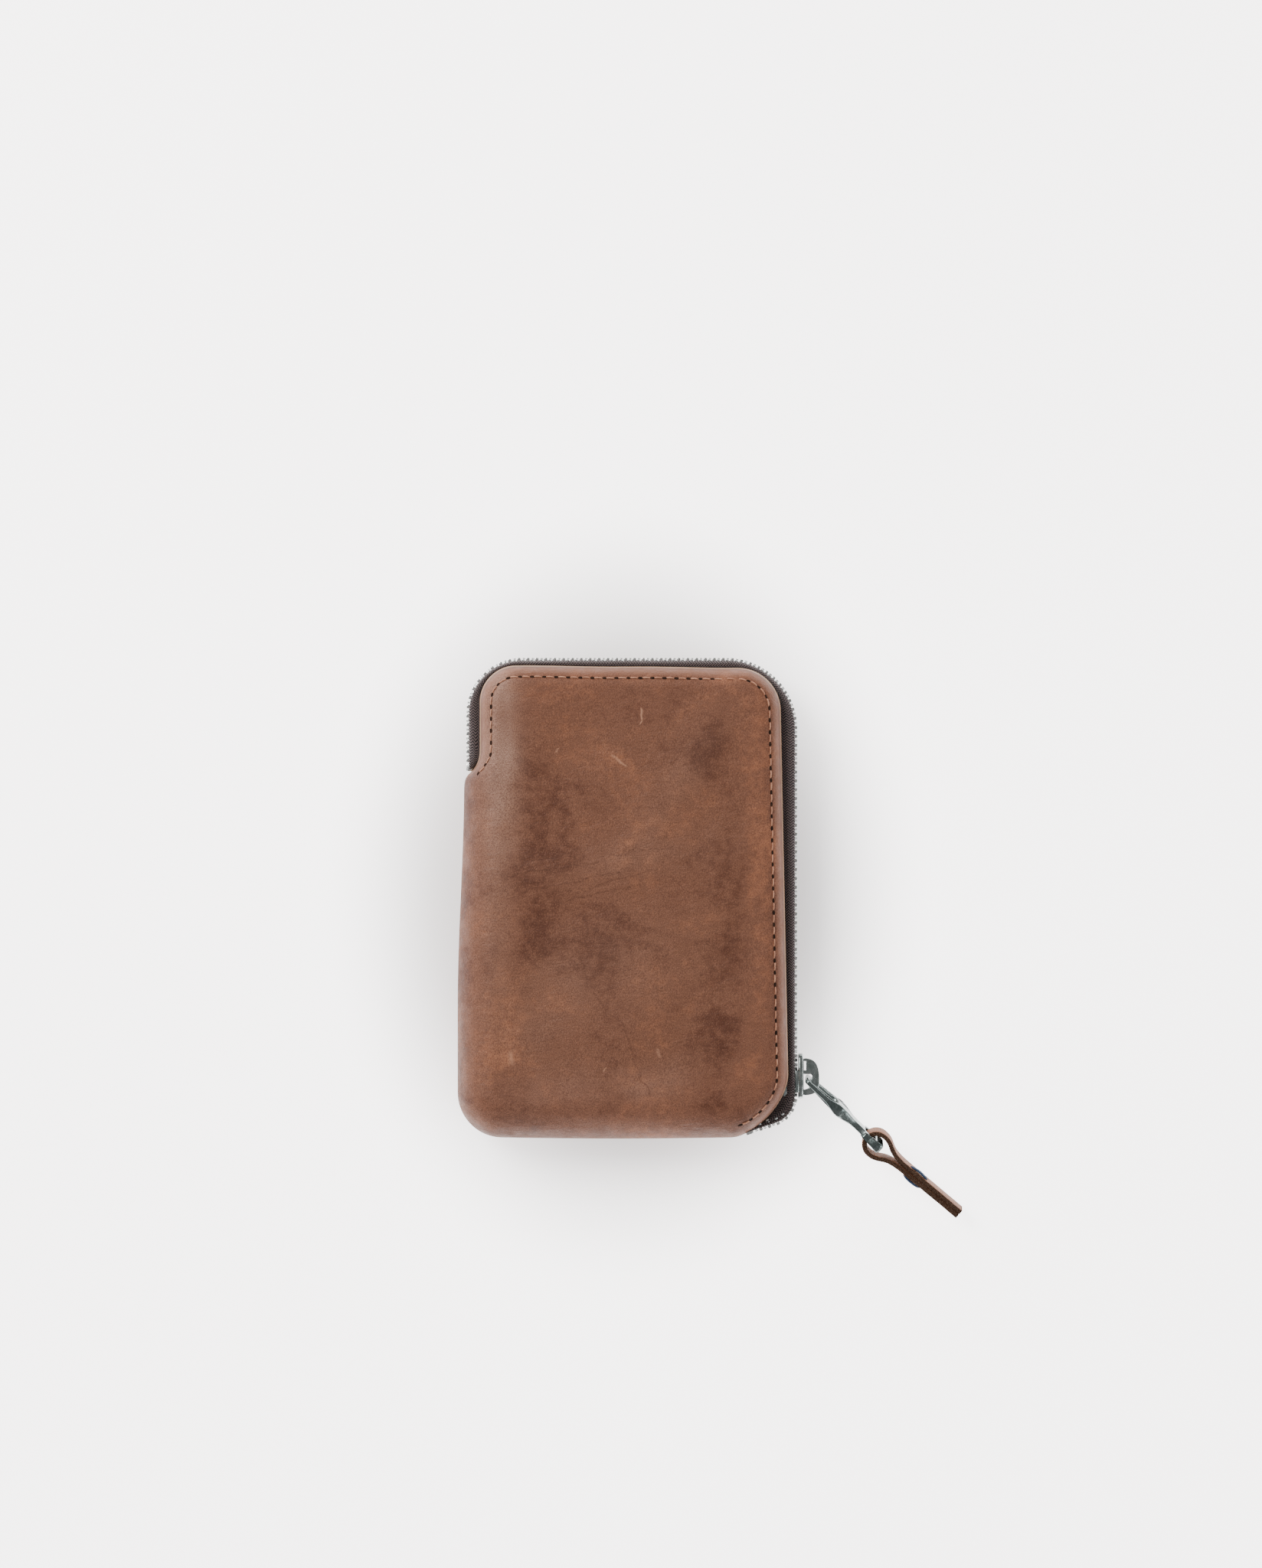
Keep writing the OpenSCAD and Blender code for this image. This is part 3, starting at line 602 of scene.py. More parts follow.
# Painted highlights and sheen on the front cover, and a painted reflection of the floor along the bottom
# edge: x, y, half length, half width, turn, strength
PAINTED_HIGHLIGHTS = [(12, 27, 24, 5, 57, 0.15), (-29.5, 38, 27, 4.6, 90, 1.3), (-30.5, -8, 26, 4.2, 90, 0.22),
          (6, -43, 9, 5, 20, 0.26), (-20, -27, 18, 9, 70, 0.10), (-3, -17, 22, 12, 20, 0.14),
          (2, 9, 24, 5, 12, 0.16), (-14, -45, 18, 6, 10, 0.2), (-8, -52, 30, 2.5, 0, 0.3)]


def spots(x, y, table):
    """Sum of soft elliptical spots at x, y."""
    total = np.zeros_like(x)
    for cx, cy, long_r, short_r, turn, value in table:
        c, s = math.cos(math.radians(turn)), math.sin(math.radians(turn))
        u = ((x - cx) * c + (y - cy) * s) / long_r
        v = (-(x - cx) * s + (y - cy) * c) / short_r
        total += value * np.exp(-(u * u + v * v) * 1.2)
    return total


# ---------- leather covers ----------

def spine_x(y):
    return LEFT + SPINE_LEAN * ease(np.clip((y + 25) / 52, 0, 1))


def right_x(y):
    return EDGE_X + 0.7 - RIGHT_LEAN * np.clip((y + 40) / 83, -0.1, 1)


def cover_outline():
    """Stations round a cover, anticlockwise from the notch down the spine. Each row holds the
    edge point, the point where its roll ends, the roll's radius, and 1 where the edge is free."""
    rows = []
    spine_roll, rim_roll = (SPINE_R, SPINE_R), (RIM_R, RIM_R)

    def add(edge, inner, roll, free):
        t = ease(np.linspace(0, 1, len(edge)))
        rows.append(np.column_stack([edge, inner, lerp(*roll, t), lerp(*free, t)])[:-1])

    def add_corner(x, y, r, roll, start, end, free):
        add(arc(x, y, r, start, end, 26), arc(x, y, r - roll[0], start, end, 26), roll, free)

    y = np.linspace(SPINE_TOP, BOTTOM + SPINE_CORNER, 96)
    spine = np.column_stack([spine_x(y), y])
    add(spine, spine + [SPINE_R, 0], spine_roll, (0, 0))
    add_corner(LEFT + SPINE_CORNER, y[-1], SPINE_CORNER, spine_roll, 180, 270, (0, 0))
    x = np.linspace(LEFT + SPINE_CORNER, SEAM_END, 72)
    bow = 0.25 * np.sin(math.pi * (x - x[0]) / (x[-1] - x[0]))
    low_inner = line((x[0], BOTTOM + SPINE_R), (x[-1] - 1, BOTTOM + SPINE_R), 72)
    add(np.column_stack([x, BOTTOM - bow]), low_inner, spine_roll, (0, 0))
    # flattened bottom right corner
    turn = np.radians(np.linspace(90, 0, 34))
    rx, ry = right_x(CORNER_Y) - SEAM_END, CORNER_Y - BOTTOM
    edge = np.column_stack([SEAM_END + rx * np.cos(turn) ** CORNER_POWER,
                            CORNER_Y - ry * np.sin(turn) ** CORNER_POWER])
    inner = np.column_stack([SEAM_END - 1 + (rx - RIM_R + 1) * np.cos(turn),
                             CORNER_Y - (ry - SPINE_R) * np.sin(turn)])
    add(edge, inner, (SPINE_R, RIM_R), (0, 1))
    rows[-1][:, 5] = np.clip(np.linspace(0, 8, len(rows[-1])), 0, 1)
    top_y = EDGE_Y - 0.55
    y = np.linspace(CORNER_Y, top_y - TOP_CORNER, 112)
    right = np.column_stack([right_x(y), y])
    add(right, right - [RIM_R, 0], rim_roll, (1, 1))
    cx = right_x(y[-1]) - TOP_CORNER
    add_corner(cx, y[-1], TOP_CORNER, rim_roll, 0, 90, (1, 1))
    x = np.linspace(cx, FREE_X + NOTCH_CORNER, 68)
    t = np.linspace(0, 1, 68)
    wave = lerp(top_y, EDGE_Y, ease(t)) + 0.12 * np.sin(x / 6.0) * np.sin(math.pi * t)
    top = np.column_stack([x, wave])
    add(top, top - [0, RIM_R], rim_roll, (1, 1))
    add_corner(x[-1], EDGE_Y - NOTCH_CORNER, NOTCH_CORNER, rim_roll, 90, 180, (1, 1))
    left = line((FREE_X, EDGE_Y - NOTCH_CORNER), (FREE_X, NOTCH_Y), 16)
    add(left, left + [RIM_R, 0], rim_roll, (1, 1))
    # the notch: the edge swings out and down to the middle of the spine
    n = 22
    swing = bezier((FREE_X, NOTCH_Y), (FREE_X, 31.4), (-35.3, 29.8), (-36.5, 28.8), n)
    notch = np.vstack([swing[:-1], bezier(swing[-1], (-37.4, 28.0), (-37.8, 27.2), spine[0], n)])
    add(notch, line((FREE_X + RIM_R, NOTCH_Y), spine[0] + [SPINE_R, 0], len(notch)),
        (RIM_R, SPINE_R), (1, 0))
    along = np.arange(len(rows[-1])) / (len(rows[-1]) // 2)
    rows[-1][:, 4] = lerp(RIM_R, SPINE_R, ease(np.clip(along / 1.3, 0, 1)))
    rows[-1][:, 5] = 1 - ease(np.clip((along - 1.2) / 0.5, 0, 1))
    return np.vstack(rows)


OUTLINE = cover_outline()
EDGE, INNER, ROLL, FREE = OUTLINE[:, 0:2], OUTLINE[:, 2:4], OUTLINE[:, 4], OUTLINE[:, 5]
INWARD = units(INNER - EDGE)
SEAM = np.where((EDGE[:, 1] < BOTTOM + 3) & (EDGE[:, 0] < SEAM_END + 1),
                np.clip((EDGE[:, 0] + 33) / 6, 0, 1), 0)
CENTRE_X, CENTRE_LOW, CENTRE_HIGH = 1.0, -26.0, 30.0
EDGE_SWELL = 0.36                        # how far the burnished cut edge bulges
GROOVE = 0.10                            # depth of the line that the stitches lie in
SEAM_TUCK = 0.42                         # how far the bottom seam turns in
FAR = 9.0                                # a distance at which no mark of the edge shows


def skin(a, depth):
    """Points of the skin at angle a of the roll, depth below the outer face."""
    share = (ROLL * (1 - math.cos(a)) + depth * math.cos(a)) / ROLL
    flat = EDGE + (INNER - EDGE) * share[:, None]
    z = THICK - ROLL + (ROLL - depth) * math.sin(a)
    return np.column_stack([flat, z])


def cover_rows():
    """Rows from the middle of the outer face, over the rim, to the middle of the inner face."""
    centre = np.column_stack([np.full(len(EDGE), CENTRE_X),
                              np.clip(INNER[:, 1], CENTRE_LOW, CENTRE_HIGH)])
    rows, from_edge, inside = [], [], []

    def add(row, gap=FAR, within=0.0):
        rows.append(row)
        from_edge.append(np.broadcast_to(gap, len(EDGE)))
        inside.append(within)

    def face(t, z):
        return np.column_stack([lerp(INNER, centre, t), np.full(len(EDGE), z)])

    cap = np.linspace(0, 1, 44)[1:]
    for t in cap[::-1]:
        add(face(t, THICK))
    for a in np.linspace(math.pi / 2, 0, 27):
        row = skin(a, 0)
        inset = ROLL * (1 - math.cos(a))
        surface = ROLL * a
        # the stitch line is pressed in, and the bottom seam turns in
        row[:, 2] -= GROOVE * FREE * np.exp(-((inset - STITCH_INSET) / 0.4) ** 2)
        row[:, :2] += INWARD * (SEAM * SEAM_TUCK * np.exp(-(surface / 0.40) ** 2))[:, None]
        add(row, lerp(FAR, surface, FREE))
    for k in range(1, 7):
        phi = math.pi * k / 7
        row = lerp(skin(0, 0), skin(0, LEATHER), (1 - math.cos(phi)) / 2)
        row[:, 2] -= EDGE_SWELL * FREE * math.sin(phi)
        add(row, lerp(FAR, 0.0, FREE), 0.0 if k < 6 else 0.6)
    for a in np.linspace(0, math.pi / 2, 14):
        add(skin(a, LEATHER), within=1.0)
    for t in cap[::2]:
        add(face(t, THICK - LEATHER), within=1.0)
    return np.array(rows), np.concatenate(from_edge), np.repeat(inside, len(EDGE))


def relief(x, y, z):
    """How much the soft top face swells or sinks, fading out over the roll."""
    fade = ease(np.clip((z - (THICK - 2.0)) / 1.6, 0, 1))
    ripple = 0.05 * np.sin(x * 0.9 + 2.1 * np.sin(y * 0.16)) * np.exp(-((y - 9 - x * 0.2) / 7) ** 2)
    return fade * (spots(x, y, SWELLS) + ripple)


def cover(name, up, nodes, body=None):
    rows, from_edge, inside = cover_rows()
    points = rows.reshape(-1, 3)
    x, y, z = points.T
    bend_height = np.clip((z - MID) / MID, 0, 1)
    tone = spots(x, y, TONE_AND_SHADE_PATCHES)
    if up > 0:
        bloom = spots(x, y, PAINTED_HIGHLIGHTS)
        points = np.column_stack([x, y, z + relief(x, y, z)])
    else:
        tone = lerp(tone, spots(-x, -y, TONE_AND_SHADE_PATCHES), bend_height)
        bloom = 0.5 * spots(x, -y, PAINTED_HIGHLIGHTS)
        points = flip(points, up)
    # the painted highlight and sheen fade out towards the middle plane
    bloom = np.clip(bloom, 0, 0.95) * bend_height
    obj = new_object(name, points, grid_faces(len(rows), len(EDGE), wrap_columns=True))
    store(obj, rest=points, tone=tone, bloom=bloom, from_edge=from_edge, inside=inside,
          front=np.full(len(points), 1.0 if up > 0 else 0.0))
    clean(obj, hard=60)
    finish_piece(obj, leather_mat, nodes, body)


# ---------- zip path ----------

def zip_path():
    """The chain's middle line in the XY plane, from the notch round to the bottom right corner."""
    parts = [line((ZIP_LEFT, ZIP_START), (ZIP_LEFT, ZIP_TOP - ZIP_TL), 20),
             arc(ZIP_LEFT + ZIP_TL, ZIP_TOP - ZIP_TL, ZIP_TL, 180, 90, 30),
             line((ZIP_LEFT + ZIP_TL, ZIP_TOP), (ZIP_RIGHT - ZIP_TR, ZIP_TOP), 40),
             arc(ZIP_RIGHT - ZIP_TR, ZIP_TOP - ZIP_TR, ZIP_TR, 90, 0, 34),
             line((ZIP_RIGHT, ZIP_TOP - ZIP_TR), (ZIP_RIGHT, ZIP_BOTTOM + ZIP_BR), 90),
             arc(ZIP_RIGHT - ZIP_BR, ZIP_BOTTOM + ZIP_BR, ZIP_BR, 0, -ZIP_END_TURN, 20)]
    turn = math.radians(ZIP_END_TURN)
    tail = parts[-1][-1] - ZIP_TAIL * np.array([math.sin(turn), math.cos(turn)])
    parts.append(line(parts[-1][-1], tail, 12))
    path = np.vstack([parts[0]] + [p[1:] for p in parts[1:]])
    return at_lengths(path, np.linspace(0, lengths(path)[-1], 700))


CHAIN = zip_path()
CHAIN_LENGTH = lengths(CHAIN)[-1]
CHAIN_ALONG = lengths(CHAIN)
CHAIN_TANGENT = tangents(CHAIN)
slider_low, slider_high = box_mm("slider")
SLIDER_Y = (slider_low[1] + slider_high[1]) / 2
SLIDER_L = slider_high[1] - slider_low[1]
off_the_side = 100 * (CHAIN[:, 0] < ZIP_RIGHT - 1)
SLIDER_S = CHAIN_ALONG[np.argmin(np.abs(CHAIN[:, 1] - SLIDER_Y) + off_the_side)]
MESHED = -0.38                           # the heads of closed teeth pass the middle by this much
PARTED = 0.45                            # and stand this far from it past the slider


def row_offset(s):
    """How far a row's heads stand from the middle plane at distance s along the chain."""
    opening = ease(np.clip((s - SLIDER_S + SLIDER_L * 0.35) / (SLIDER_L * 0.6), 0, 1))
    return lerp(MESHED, PARTED, opening)


def chain_frame(s):
    """Place, direction along and direction outwards of the chain at distance s."""
    place = np.array([np.interp(s, CHAIN_ALONG, CHAIN[:, k]) for k in (0, 1)])
    along = np.array([np.interp(s, CHAIN_ALONG, CHAIN_TANGENT[:, k]) for k in (0, 1)])
    along /= np.linalg.norm(along)
    return place, along, np.array([-along[1], along[0]])


def tooth_template(length=0.92):
    """One tooth: X along the chain, Y outwards, Z away from the middle; the tape is between its legs."""
    half = length / 2
    wide = TOOTH_W / 2
    head = ((-half, -0.78, 0.0), (half, 0.78, 1.15))
    legs = [((-half * 0.92, low, 0.75), (half * 0.92, high, 2.35))
            for low, high in ((-wide, -0.26), (0.26, wide))]
    return bevelled_boxes([head, *legs], 0.15)


def chain_row(name, places, up_each, template, nodes, body=None):
    """Teeth or stops at these distances; up is 1 for the front row and -1 for the back row."""
    points, faces = template
    parts = []
    for s, up in zip(places, up_each):
        place, along, out = chain_frame(s)
        flat = place + points[:, :1] * along + points[:, 1:2] * out
        z = MID + up * (points[:, 2] + row_offset(s))
        parts.append((np.column_stack([flat, z]), faces))
    obj = joined(name, parts)
    clean(obj, FINE_MERGE)
    finish_piece(obj, glint_teeth_metal, nodes, body)


FIRST_TOOTH, LAST_TOOTH = 2.0, CHAIN_LENGTH - 2.6
TOOTH_PLACES = np.arange(FIRST_TOOTH, LAST_TOOTH, TOOTH_PITCH)
STOP_AT, STOP_L = (CHAIN_LENGTH - 1.0, CHAIN_LENGTH - 1.0, 0.4), 1.9


# ---------- tape ----------

def tape_sheet(name, up, nodes, body=None):
    """The tape: clamped by the teeth, bulging out over them, then in under the leather's rim."""
    wanted = np.linspace(0, CHAIN_LENGTH, 330)
    chain = at_lengths(CHAIN, wanted)
    along = at_lengths(CHAIN, wanted, CHAIN_TANGENT)
    out = np.column_stack([-along[:, 1], along[:, 0]])
    free = np.where(FREE > 0.02)[0][::-1]
    # the place on the leather's edge nearest to each place on the chain, evened out
    gap = np.linalg.norm(EDGE[free][None] - chain[:, None], axis=2)
    nearest = np.maximum.accumulate(np.argmin(gap, axis=1)).astype(float)
    nearest = np.convolve(np.pad(nearest, 9, "edge"), np.ones(19) / 19, "valid")
    columns = [np.interp(nearest, np.arange(len(free)), column) for column in OUTLINE[free].T]
    edge, inner, roll = np.column_stack(columns[0:2]), np.column_stack(columns[2:4]), columns[4]
    inward = units(inner - edge)
    rim = THICK - roll - EDGE_SWELL
    slack = 0.2 * np.sin(wanted / 3.1) * np.sin(wanted / 7.7)
    low = MID + row_offset(wanted)
    knots = [(chain, low + 0.9), (chain + out * 0.02, low + 1.7), (chain + out * 0.05, low + 2.35),
             (chain + out * 0.16, lerp(low + 2.35, rim, 0.42)),
             (chain + out * 0.10, lerp(low + 2.35, rim, 0.85) - 0.1),
             (lerp(chain, edge, 0.45), np.maximum(rim - 0.12 + 0.3 * slack, low + 2.2)),
             (lerp(chain, edge, 0.95), np.maximum(rim - 0.50 + 0.1 * slack, low + 1.5)),
             (edge + inward * 1.35, rim - 0.45), (edge + inward * 2.2, rim + 0.9),
             (edge + inward * 3.6, rim + 2.2), (edge + inward * 5.2, rim + 3.0)]
    rows = smooth_rows(np.array([np.column_stack(knot) for knot in knots]), 34)
    rows[:, :, 2] = np.minimum(rows[:, :, 2], THICK - LEATHER - 0.4)
    across = lengths(rows[:, len(wanted) // 2])
    points = flip(rows.reshape(-1, 3), up)
    obj = new_object(name, points, grid_faces(len(rows), len(wanted)))
    store(obj, along=np.tile(wanted, len(rows)), across=np.repeat(across, len(wanted)), rest=points)
    finish_piece(solidify(obj, TAPE), tape_mat, nodes, body)


def smooth_rows(knots, count):
    """Catmull-Rom rows through the knot rows."""
    n = len(knots)
    padded = np.concatenate([[2 * knots[0] - knots[1]], knots, [2 * knots[-1] - knots[-2]]])
    rows = []
    for u in np.linspace(0, n - 1.0001, count):
        i, t = int(u), u - int(u)
        a, b, c, d = padded[i], padded[i + 1], padded[i + 2], padded[i + 3]
        rows.append(0.5 * (2 * b + (c - a) * t + (2 * a - 5 * b + 4 * c - d) * t ** 2
                           + (3 * b - a - 3 * c + d) * t ** 3))
    return np.array(rows)


# ---------- stitches ----------

def stitch_line():
    """The skin under the stitches along the free edge: points and outward directions."""
    share = STITCH_INSET / ROLL
    a = np.arccos(1 - share)
    flat = EDGE + (INNER - EDGE) * share[:, None]
    points = np.column_stack([flat, THICK - ROLL + ROLL * np.sin(a) - GROOVE])
    normal = np.column_stack([-INWARD * np.cos(a)[:, None], np.sin(a)])
    keep = FREE > 0.5
    return points[keep], normal[keep]


def stitches(name, up, nodes, body=None):
    path, normal = stitch_line()
    total = lengths(path)[-1]
    count = int(total / STITCH_PITCH)
    holes = np.linspace(1.2, total - 1.2, count + 1)
    t = np.linspace(0, 1, 9)
    threads, hole_shade_discs = [], []
    for start, end in zip(holes[:-1], holes[1:]):
        s = lerp(start + HOLE_L * 0.32, end - HOLE_L * 0.32, t)
        place, above = at_lengths(path, s), at_lengths(path, s, normal)
        side = np.cross(tangents(place), above)
        lift = 0.30 * np.sin(math.pi * t) ** 0.6 - 0.14
        lean = 0.13 * (t - 0.5) + 0.03 * rng.standard_normal()
        centre = place + above * lift[:, None] + side * lean[:, None]
        radius = THREAD_R * (0.62 + 0.38 * np.sin(math.pi * t) ** 0.5) * rng.uniform(0.9, 1.08)
        threads.append(tube_parts(flip(centre, up), radius, 7))
    # painted shade: a dark oval disc lies on the leather at each needle hole
    turn = np.linspace(0, 2 * math.pi, 12, endpoint=False)[:, None]
    for s in holes:
        place, above = at_lengths(path, [s - 0.05, s + 0.05]), at_lengths(path, [s], normal)[0]
        forward = (place[1] - place[0]) / np.linalg.norm(place[1] - place[0])
        side = np.cross(forward, above)
        oval = np.cos(turn) * forward * HOLE_L / 2 + np.sin(turn) * side * HOLE_W / 2
        oval = oval * rng.uniform(0.85, 1.1)
        rings = [place[0] + above * lift + share * oval
                 for share, lift in ((1.0, 0.055), (0.8, 0.075), (0.35, 0.07))]
        faces = grid_faces(3, 12, wrap_columns=True) + [list(range(24, 36))]
        hole_shade_discs.append((flip(np.vstack(rings), up), faces))
    for label, parts, material, used in ((name, threads, thread_mat, nodes),
                                         (name + "_hole_shade", hole_shade_discs, hole_shade_mat, [])):
        obj = joined(label, parts)
        clean(obj, FINE_MERGE)
        finish_piece(obj, material, used, body)


# ---------- inside: seam strips, their thread and the card pocket ----------

def wavy_strip(name, node, bulge):
    """A thin strip of leather in the CAD strip's box, with rounded edges and a slight wave."""
    low, high = box_mm(node)
    depth, height = high[1] - low[1], high[2] - low[2]
    u, v = rounded_section(depth / 2, height / 2, 0.35, 0.6, 28).T
    k = np.arange(70)[:, None]
    y = (low[1] + high[1]) / 2 + u * (1 + 0.03 * np.sin(k * 1.3))
    z = (low[2] + high[2]) / 2 + v * 0.92 + bulge * np.sin(k * 0.5) * (u / depth + 0.5) * 0.4
    x = np.linspace(low[0], high[0], len(k))[:, None] + 0 * y
    obj = new_object(name, np.dstack([x, y, z]).reshape(-1, 3), closed_faces(*y.shape))
    clean(obj)
    store(obj, raw=np.clip((points_of(obj)[:, 1] - (high[1] - 0.25)) / 0.2, 0, 1))
    finish_piece(obj, flesh_mat, [node], "back_half")


def rounded(x0, x1, y0, y1, r, n=8):
    return np.vstack([arc(x1 - r, y1 - r, r, 0, 90, n), arc(x0 + r, y1 - r, r, 90, 180, n),
                      arc(x0 + r, y0 + r, r, 180, 270, n), arc(x1 - r, y0 + r, r, 270, 360, n)])


def card_pocket():
    """Two layers of thin leather, sewn round three sides, with a thumb cut in the upper one."""
    low, high = box_mm("card_pocket")
    layer = (high[2] - low[2]) / 2 - 0.06
    upper_y = high[1] - 5
    lower = rounded(low[0], high[0], low[1], high[1], 4)
    upper = rounded(low[0], high[0], low[1], upper_y, 3)
    thumb = arc((low[0] + high[0]) / 2, upper_y + 2, 9, -15, -165, 22)
    upper = np.vstack([upper[:8], thumb, upper[8:]])
    obj = joined("pocket", [
        parts_of(plate("pocket_layer", [outline], layer, 0.3), Matrix.Translation((0, 0, z)))
        for outline, z in ((lower, low[2] + layer / 2), (upper, high[2] - layer / 2))])
    store(obj, raw=np.zeros(len(obj.data.vertices)))
    finish_piece(obj, pocket_mat, ["card_pocket"], "back_half")
    inset, r = 2.0, 3.0
    left, right, bottom = low[0] + inset, high[0] - inset, low[1] + inset
    path = np.vstack([line((left, upper_y - 1), (left, bottom + r), 30),
                      arc(left + r, bottom + r, r, 180, 270, 8),
                      arc(right - r, bottom + r, r, 270, 360, 8),
                      line((right, bottom + r), (right, upper_y - 1), 30)])
    sew("pocket_thread", path, high[2], 1, [])


def sew(name, path, z, up, nodes):
    """A row of stitches along a flat path at height z."""
    parts = []
    t = np.linspace(0, 1, 7)
    for s in np.arange(0.5, lengths(path)[-1] - STITCH_PITCH, STITCH_PITCH):
        flat = at_lengths(path, lerp(s, s + STITCH_PITCH - 0.7, t))
        height = z + up * (0.22 * np.sin(math.pi * t) ** 0.6 - 0.06)
        parts.append(tube_parts(np.column_stack([flat, height]),
                                THREAD_R * (0.6 + 0.4 * np.sin(math.pi * t)), 7))
    finish_piece(joined(name, parts), thread_mat, nodes, "back_half")


def seam_threads():
    low, high = box_mm("seam_thread")
    y = (low[1] + high[1]) / 2
    path = line((low[0], y), (high[0] + 1, y), 40)
    sew("seam_thread_front", path, high[2] - 0.4, 1, ["seam_thread"])
    sew("seam_thread_back", path, low[2] + 0.4, -1, [])


# ---------- slider ----------

TEETH_GAP = 0.15                         # clearance between the teeth and the outer wing


def slider_piece():
    """Two shield-shaped wings, their turned-in flanges and a D-shaped bail."""
    h = SLIDER_L / 2
    w = (slider_high[2] - slider_low[2]) / 2
    wing, r, narrower = 1.1, 1.5, 0.7
    end_w = w - narrower
    low_side = bezier((h - r, -end_w), (2.4, -w + 0.1), (0, -w - 0.1), (-h + r, -w), 10)
    shield = np.vstack([arc(-h + r, -w + r, r, 270, 180, 8), arc(-h + r, w - r, r, 180, 90, 8),
                        bezier((-h + r, w), (0, w + 0.1), (2.4, w - 0.1), (h - r, end_w), 10)[1:],
                        arc(h - r, end_w - r, r, 90, 0, 8), arc(h - r, -end_w + r, r, 0, -90, 8),
                        low_side[1:-1]])
    wing_x = teeth_high[0] + TEETH_GAP + wing
    inner_x = slider_low[0]
    stand = Matrix(((0, 0, 1, 0), (1, 0, 0, 0), (0, 1, 0, 0), (0, 0, 0, 1)))
    parts = []
    for x, bevel in ((wing_x - wing / 2, 0.34), (inner_x + wing / 2, 0.3)):
        at = Matrix.Translation((x, SLIDER_Y, MID)) @ stand
        parts.append(parts_of(plate("wing", [shield], wing, bevel, 4), at))
    flange, deep = 0.8, 0.75
    boxes = []
    for side in (-1, 1):
        z = MID + side * (w - flange / 2)
        for x in (wing_x - wing - deep, inner_x + wing - 0.1):
            boxes.append(((x, SLIDER_Y - h + 1.4, z - flange / 2),
                          (x + deep + 0.1, SLIDER_Y + h - 3.9, z + flange / 2)))
    parts.append(bevelled_boxes(boxes, 0.18))
    # bail: a thick D with a hole by the wing and a slot beside its wide upper leg
    reach, half, thick = slider_high[0] - wing_x, 4.5, 1.6
    lower = bezier((0.5, -half), (reach * 0.8, -half), (reach, -half + 1.2), (reach, -1.2), 16)
    upper = bezier((reach, -1.2), (reach, 2.2), (reach - 0.5, half - 0.6), (0.6, half - 0.4), 16)
    outer = np.vstack([[(-0.9, half - 0.7), (-0.9, -half + 0.3)], lower, upper[1:]])
    hole = np.vstack([bezier((0.2, -half + 1.35), (1.4, -half + 1.35), (2.15, -2.2), (2.15, -0.6), 12),
                      [(2.15, 0.1), (1.85, 0.4), (0.2, 0.4)]])
    slot = [(0.25, 1.3), (0.25, 3.4), (0.75, 3.4), (0.75, 1.3)]
    bail = plate("bail", [outer, hole, slot], thick, 0.18, 4)
    parts.append(parts_of(bail, Matrix.Translation((wing_x, SLIDER_Y, MID))))
    obj = joined("zip_slider", parts)
    clean(obj, 0, 38)
    finish_piece(obj, shaded_slider_metal, ["slider"], "slider")


# ---------- pull and strap ----------

pull_joint = Vector(joints["pull_swing"]["pos_m"]) / MM
strap_joint = Vector(joints["strap_swing"]["pos_m"]) / MM
PULL_TURN, PULL_DROOP, STRAP_TURN, STRAP_DROOP, LEAN = (math.radians(v) for v in (43, 7, 40, 8, 9))
STRAP_LEAN = math.radians(12)


def hanging_frame(place, turn, droop, lean=LEAN):
    """X along the piece, Y across it, Z up its height."""
    return (Matrix.Translation(place) @ Matrix.Rotation(-turn, 4, "Z")
            @ Matrix.Rotation(droop, 4, "Y") @ Matrix.Rotation(lean, 4, "X"))


def pull_thickness(x):
    """The casting is thin at the ring and the waist, and thick at the shoulder and the end."""
    keys = [-1.0, 0.4, 6.5, 9.4, 11.2, 14.5, 17.5, 20.5, 22.6, 23.6]
    sizes = [0.95, 1.05, 1.2, 2.6, 2.5, 1.5, 1.5, 1.9, 2.3, 2.1]
    return np.interp(x, keys, sizes)


def pull_piece():
    ring, end_h = 3.1, 3.6
    upper = [(-0.5, ring - 1), (0.2, ring - 0.1), (3, ring), (6, ring - 0.05), (9.0, ring + 0.1),
             (10.4, ring + 0.15), (11.6, ring - 0.45), (12.8, 2.3), (14.2, 1.78), (15.6, 1.65),
             (17.2, 1.9), (18.6, 2.5), (20.0, 3.1), (21.2, end_h - 0.1), (22.2, end_h),
             (23.0, end_h - 0.15), (23.4, end_h - 0.8)]
    upper = smooth_rows(np.array(upper, float)[:, None, :], 110)[:, 0]
    outline = np.vstack([upper, upper[::-1] * [1, -1]])
    window = rounded_section(4.2, 2.0, 0.5, 0.6, 60) + [4.7, 0]
    eye = rounded(18.0, 21.0, -3.0, 3.0, 0.5)
    obj = plate("pull", [outline, window, eye], 1.0, 0.3, 4)
    for v in obj.data.vertices:
        v.co.z *= pull_thickness(v.co.x / MM)
    stand = Matrix(((1, 0, 0, 0), (0, 0, -1, 0), (0, 1, 0, 0), (0, 0, 0, 1)))
    hang = hanging_frame(pull_joint, PULL_TURN, PULL_DROOP)
    body = parts_of(obj, hang @ stand)
    leg, leg_faces = tube_parts([(0, 0, z) for z in np.linspace(-2.5, 2.5, 9)], [0.55] * 9, 16)
    obj = joined("zip_pull", [body, (placed(leg, hang), leg_faces)])
    clean(obj, 0, 50)
    finish_piece(obj, shaded_pull_metal, ["metal_pull"], "pull")


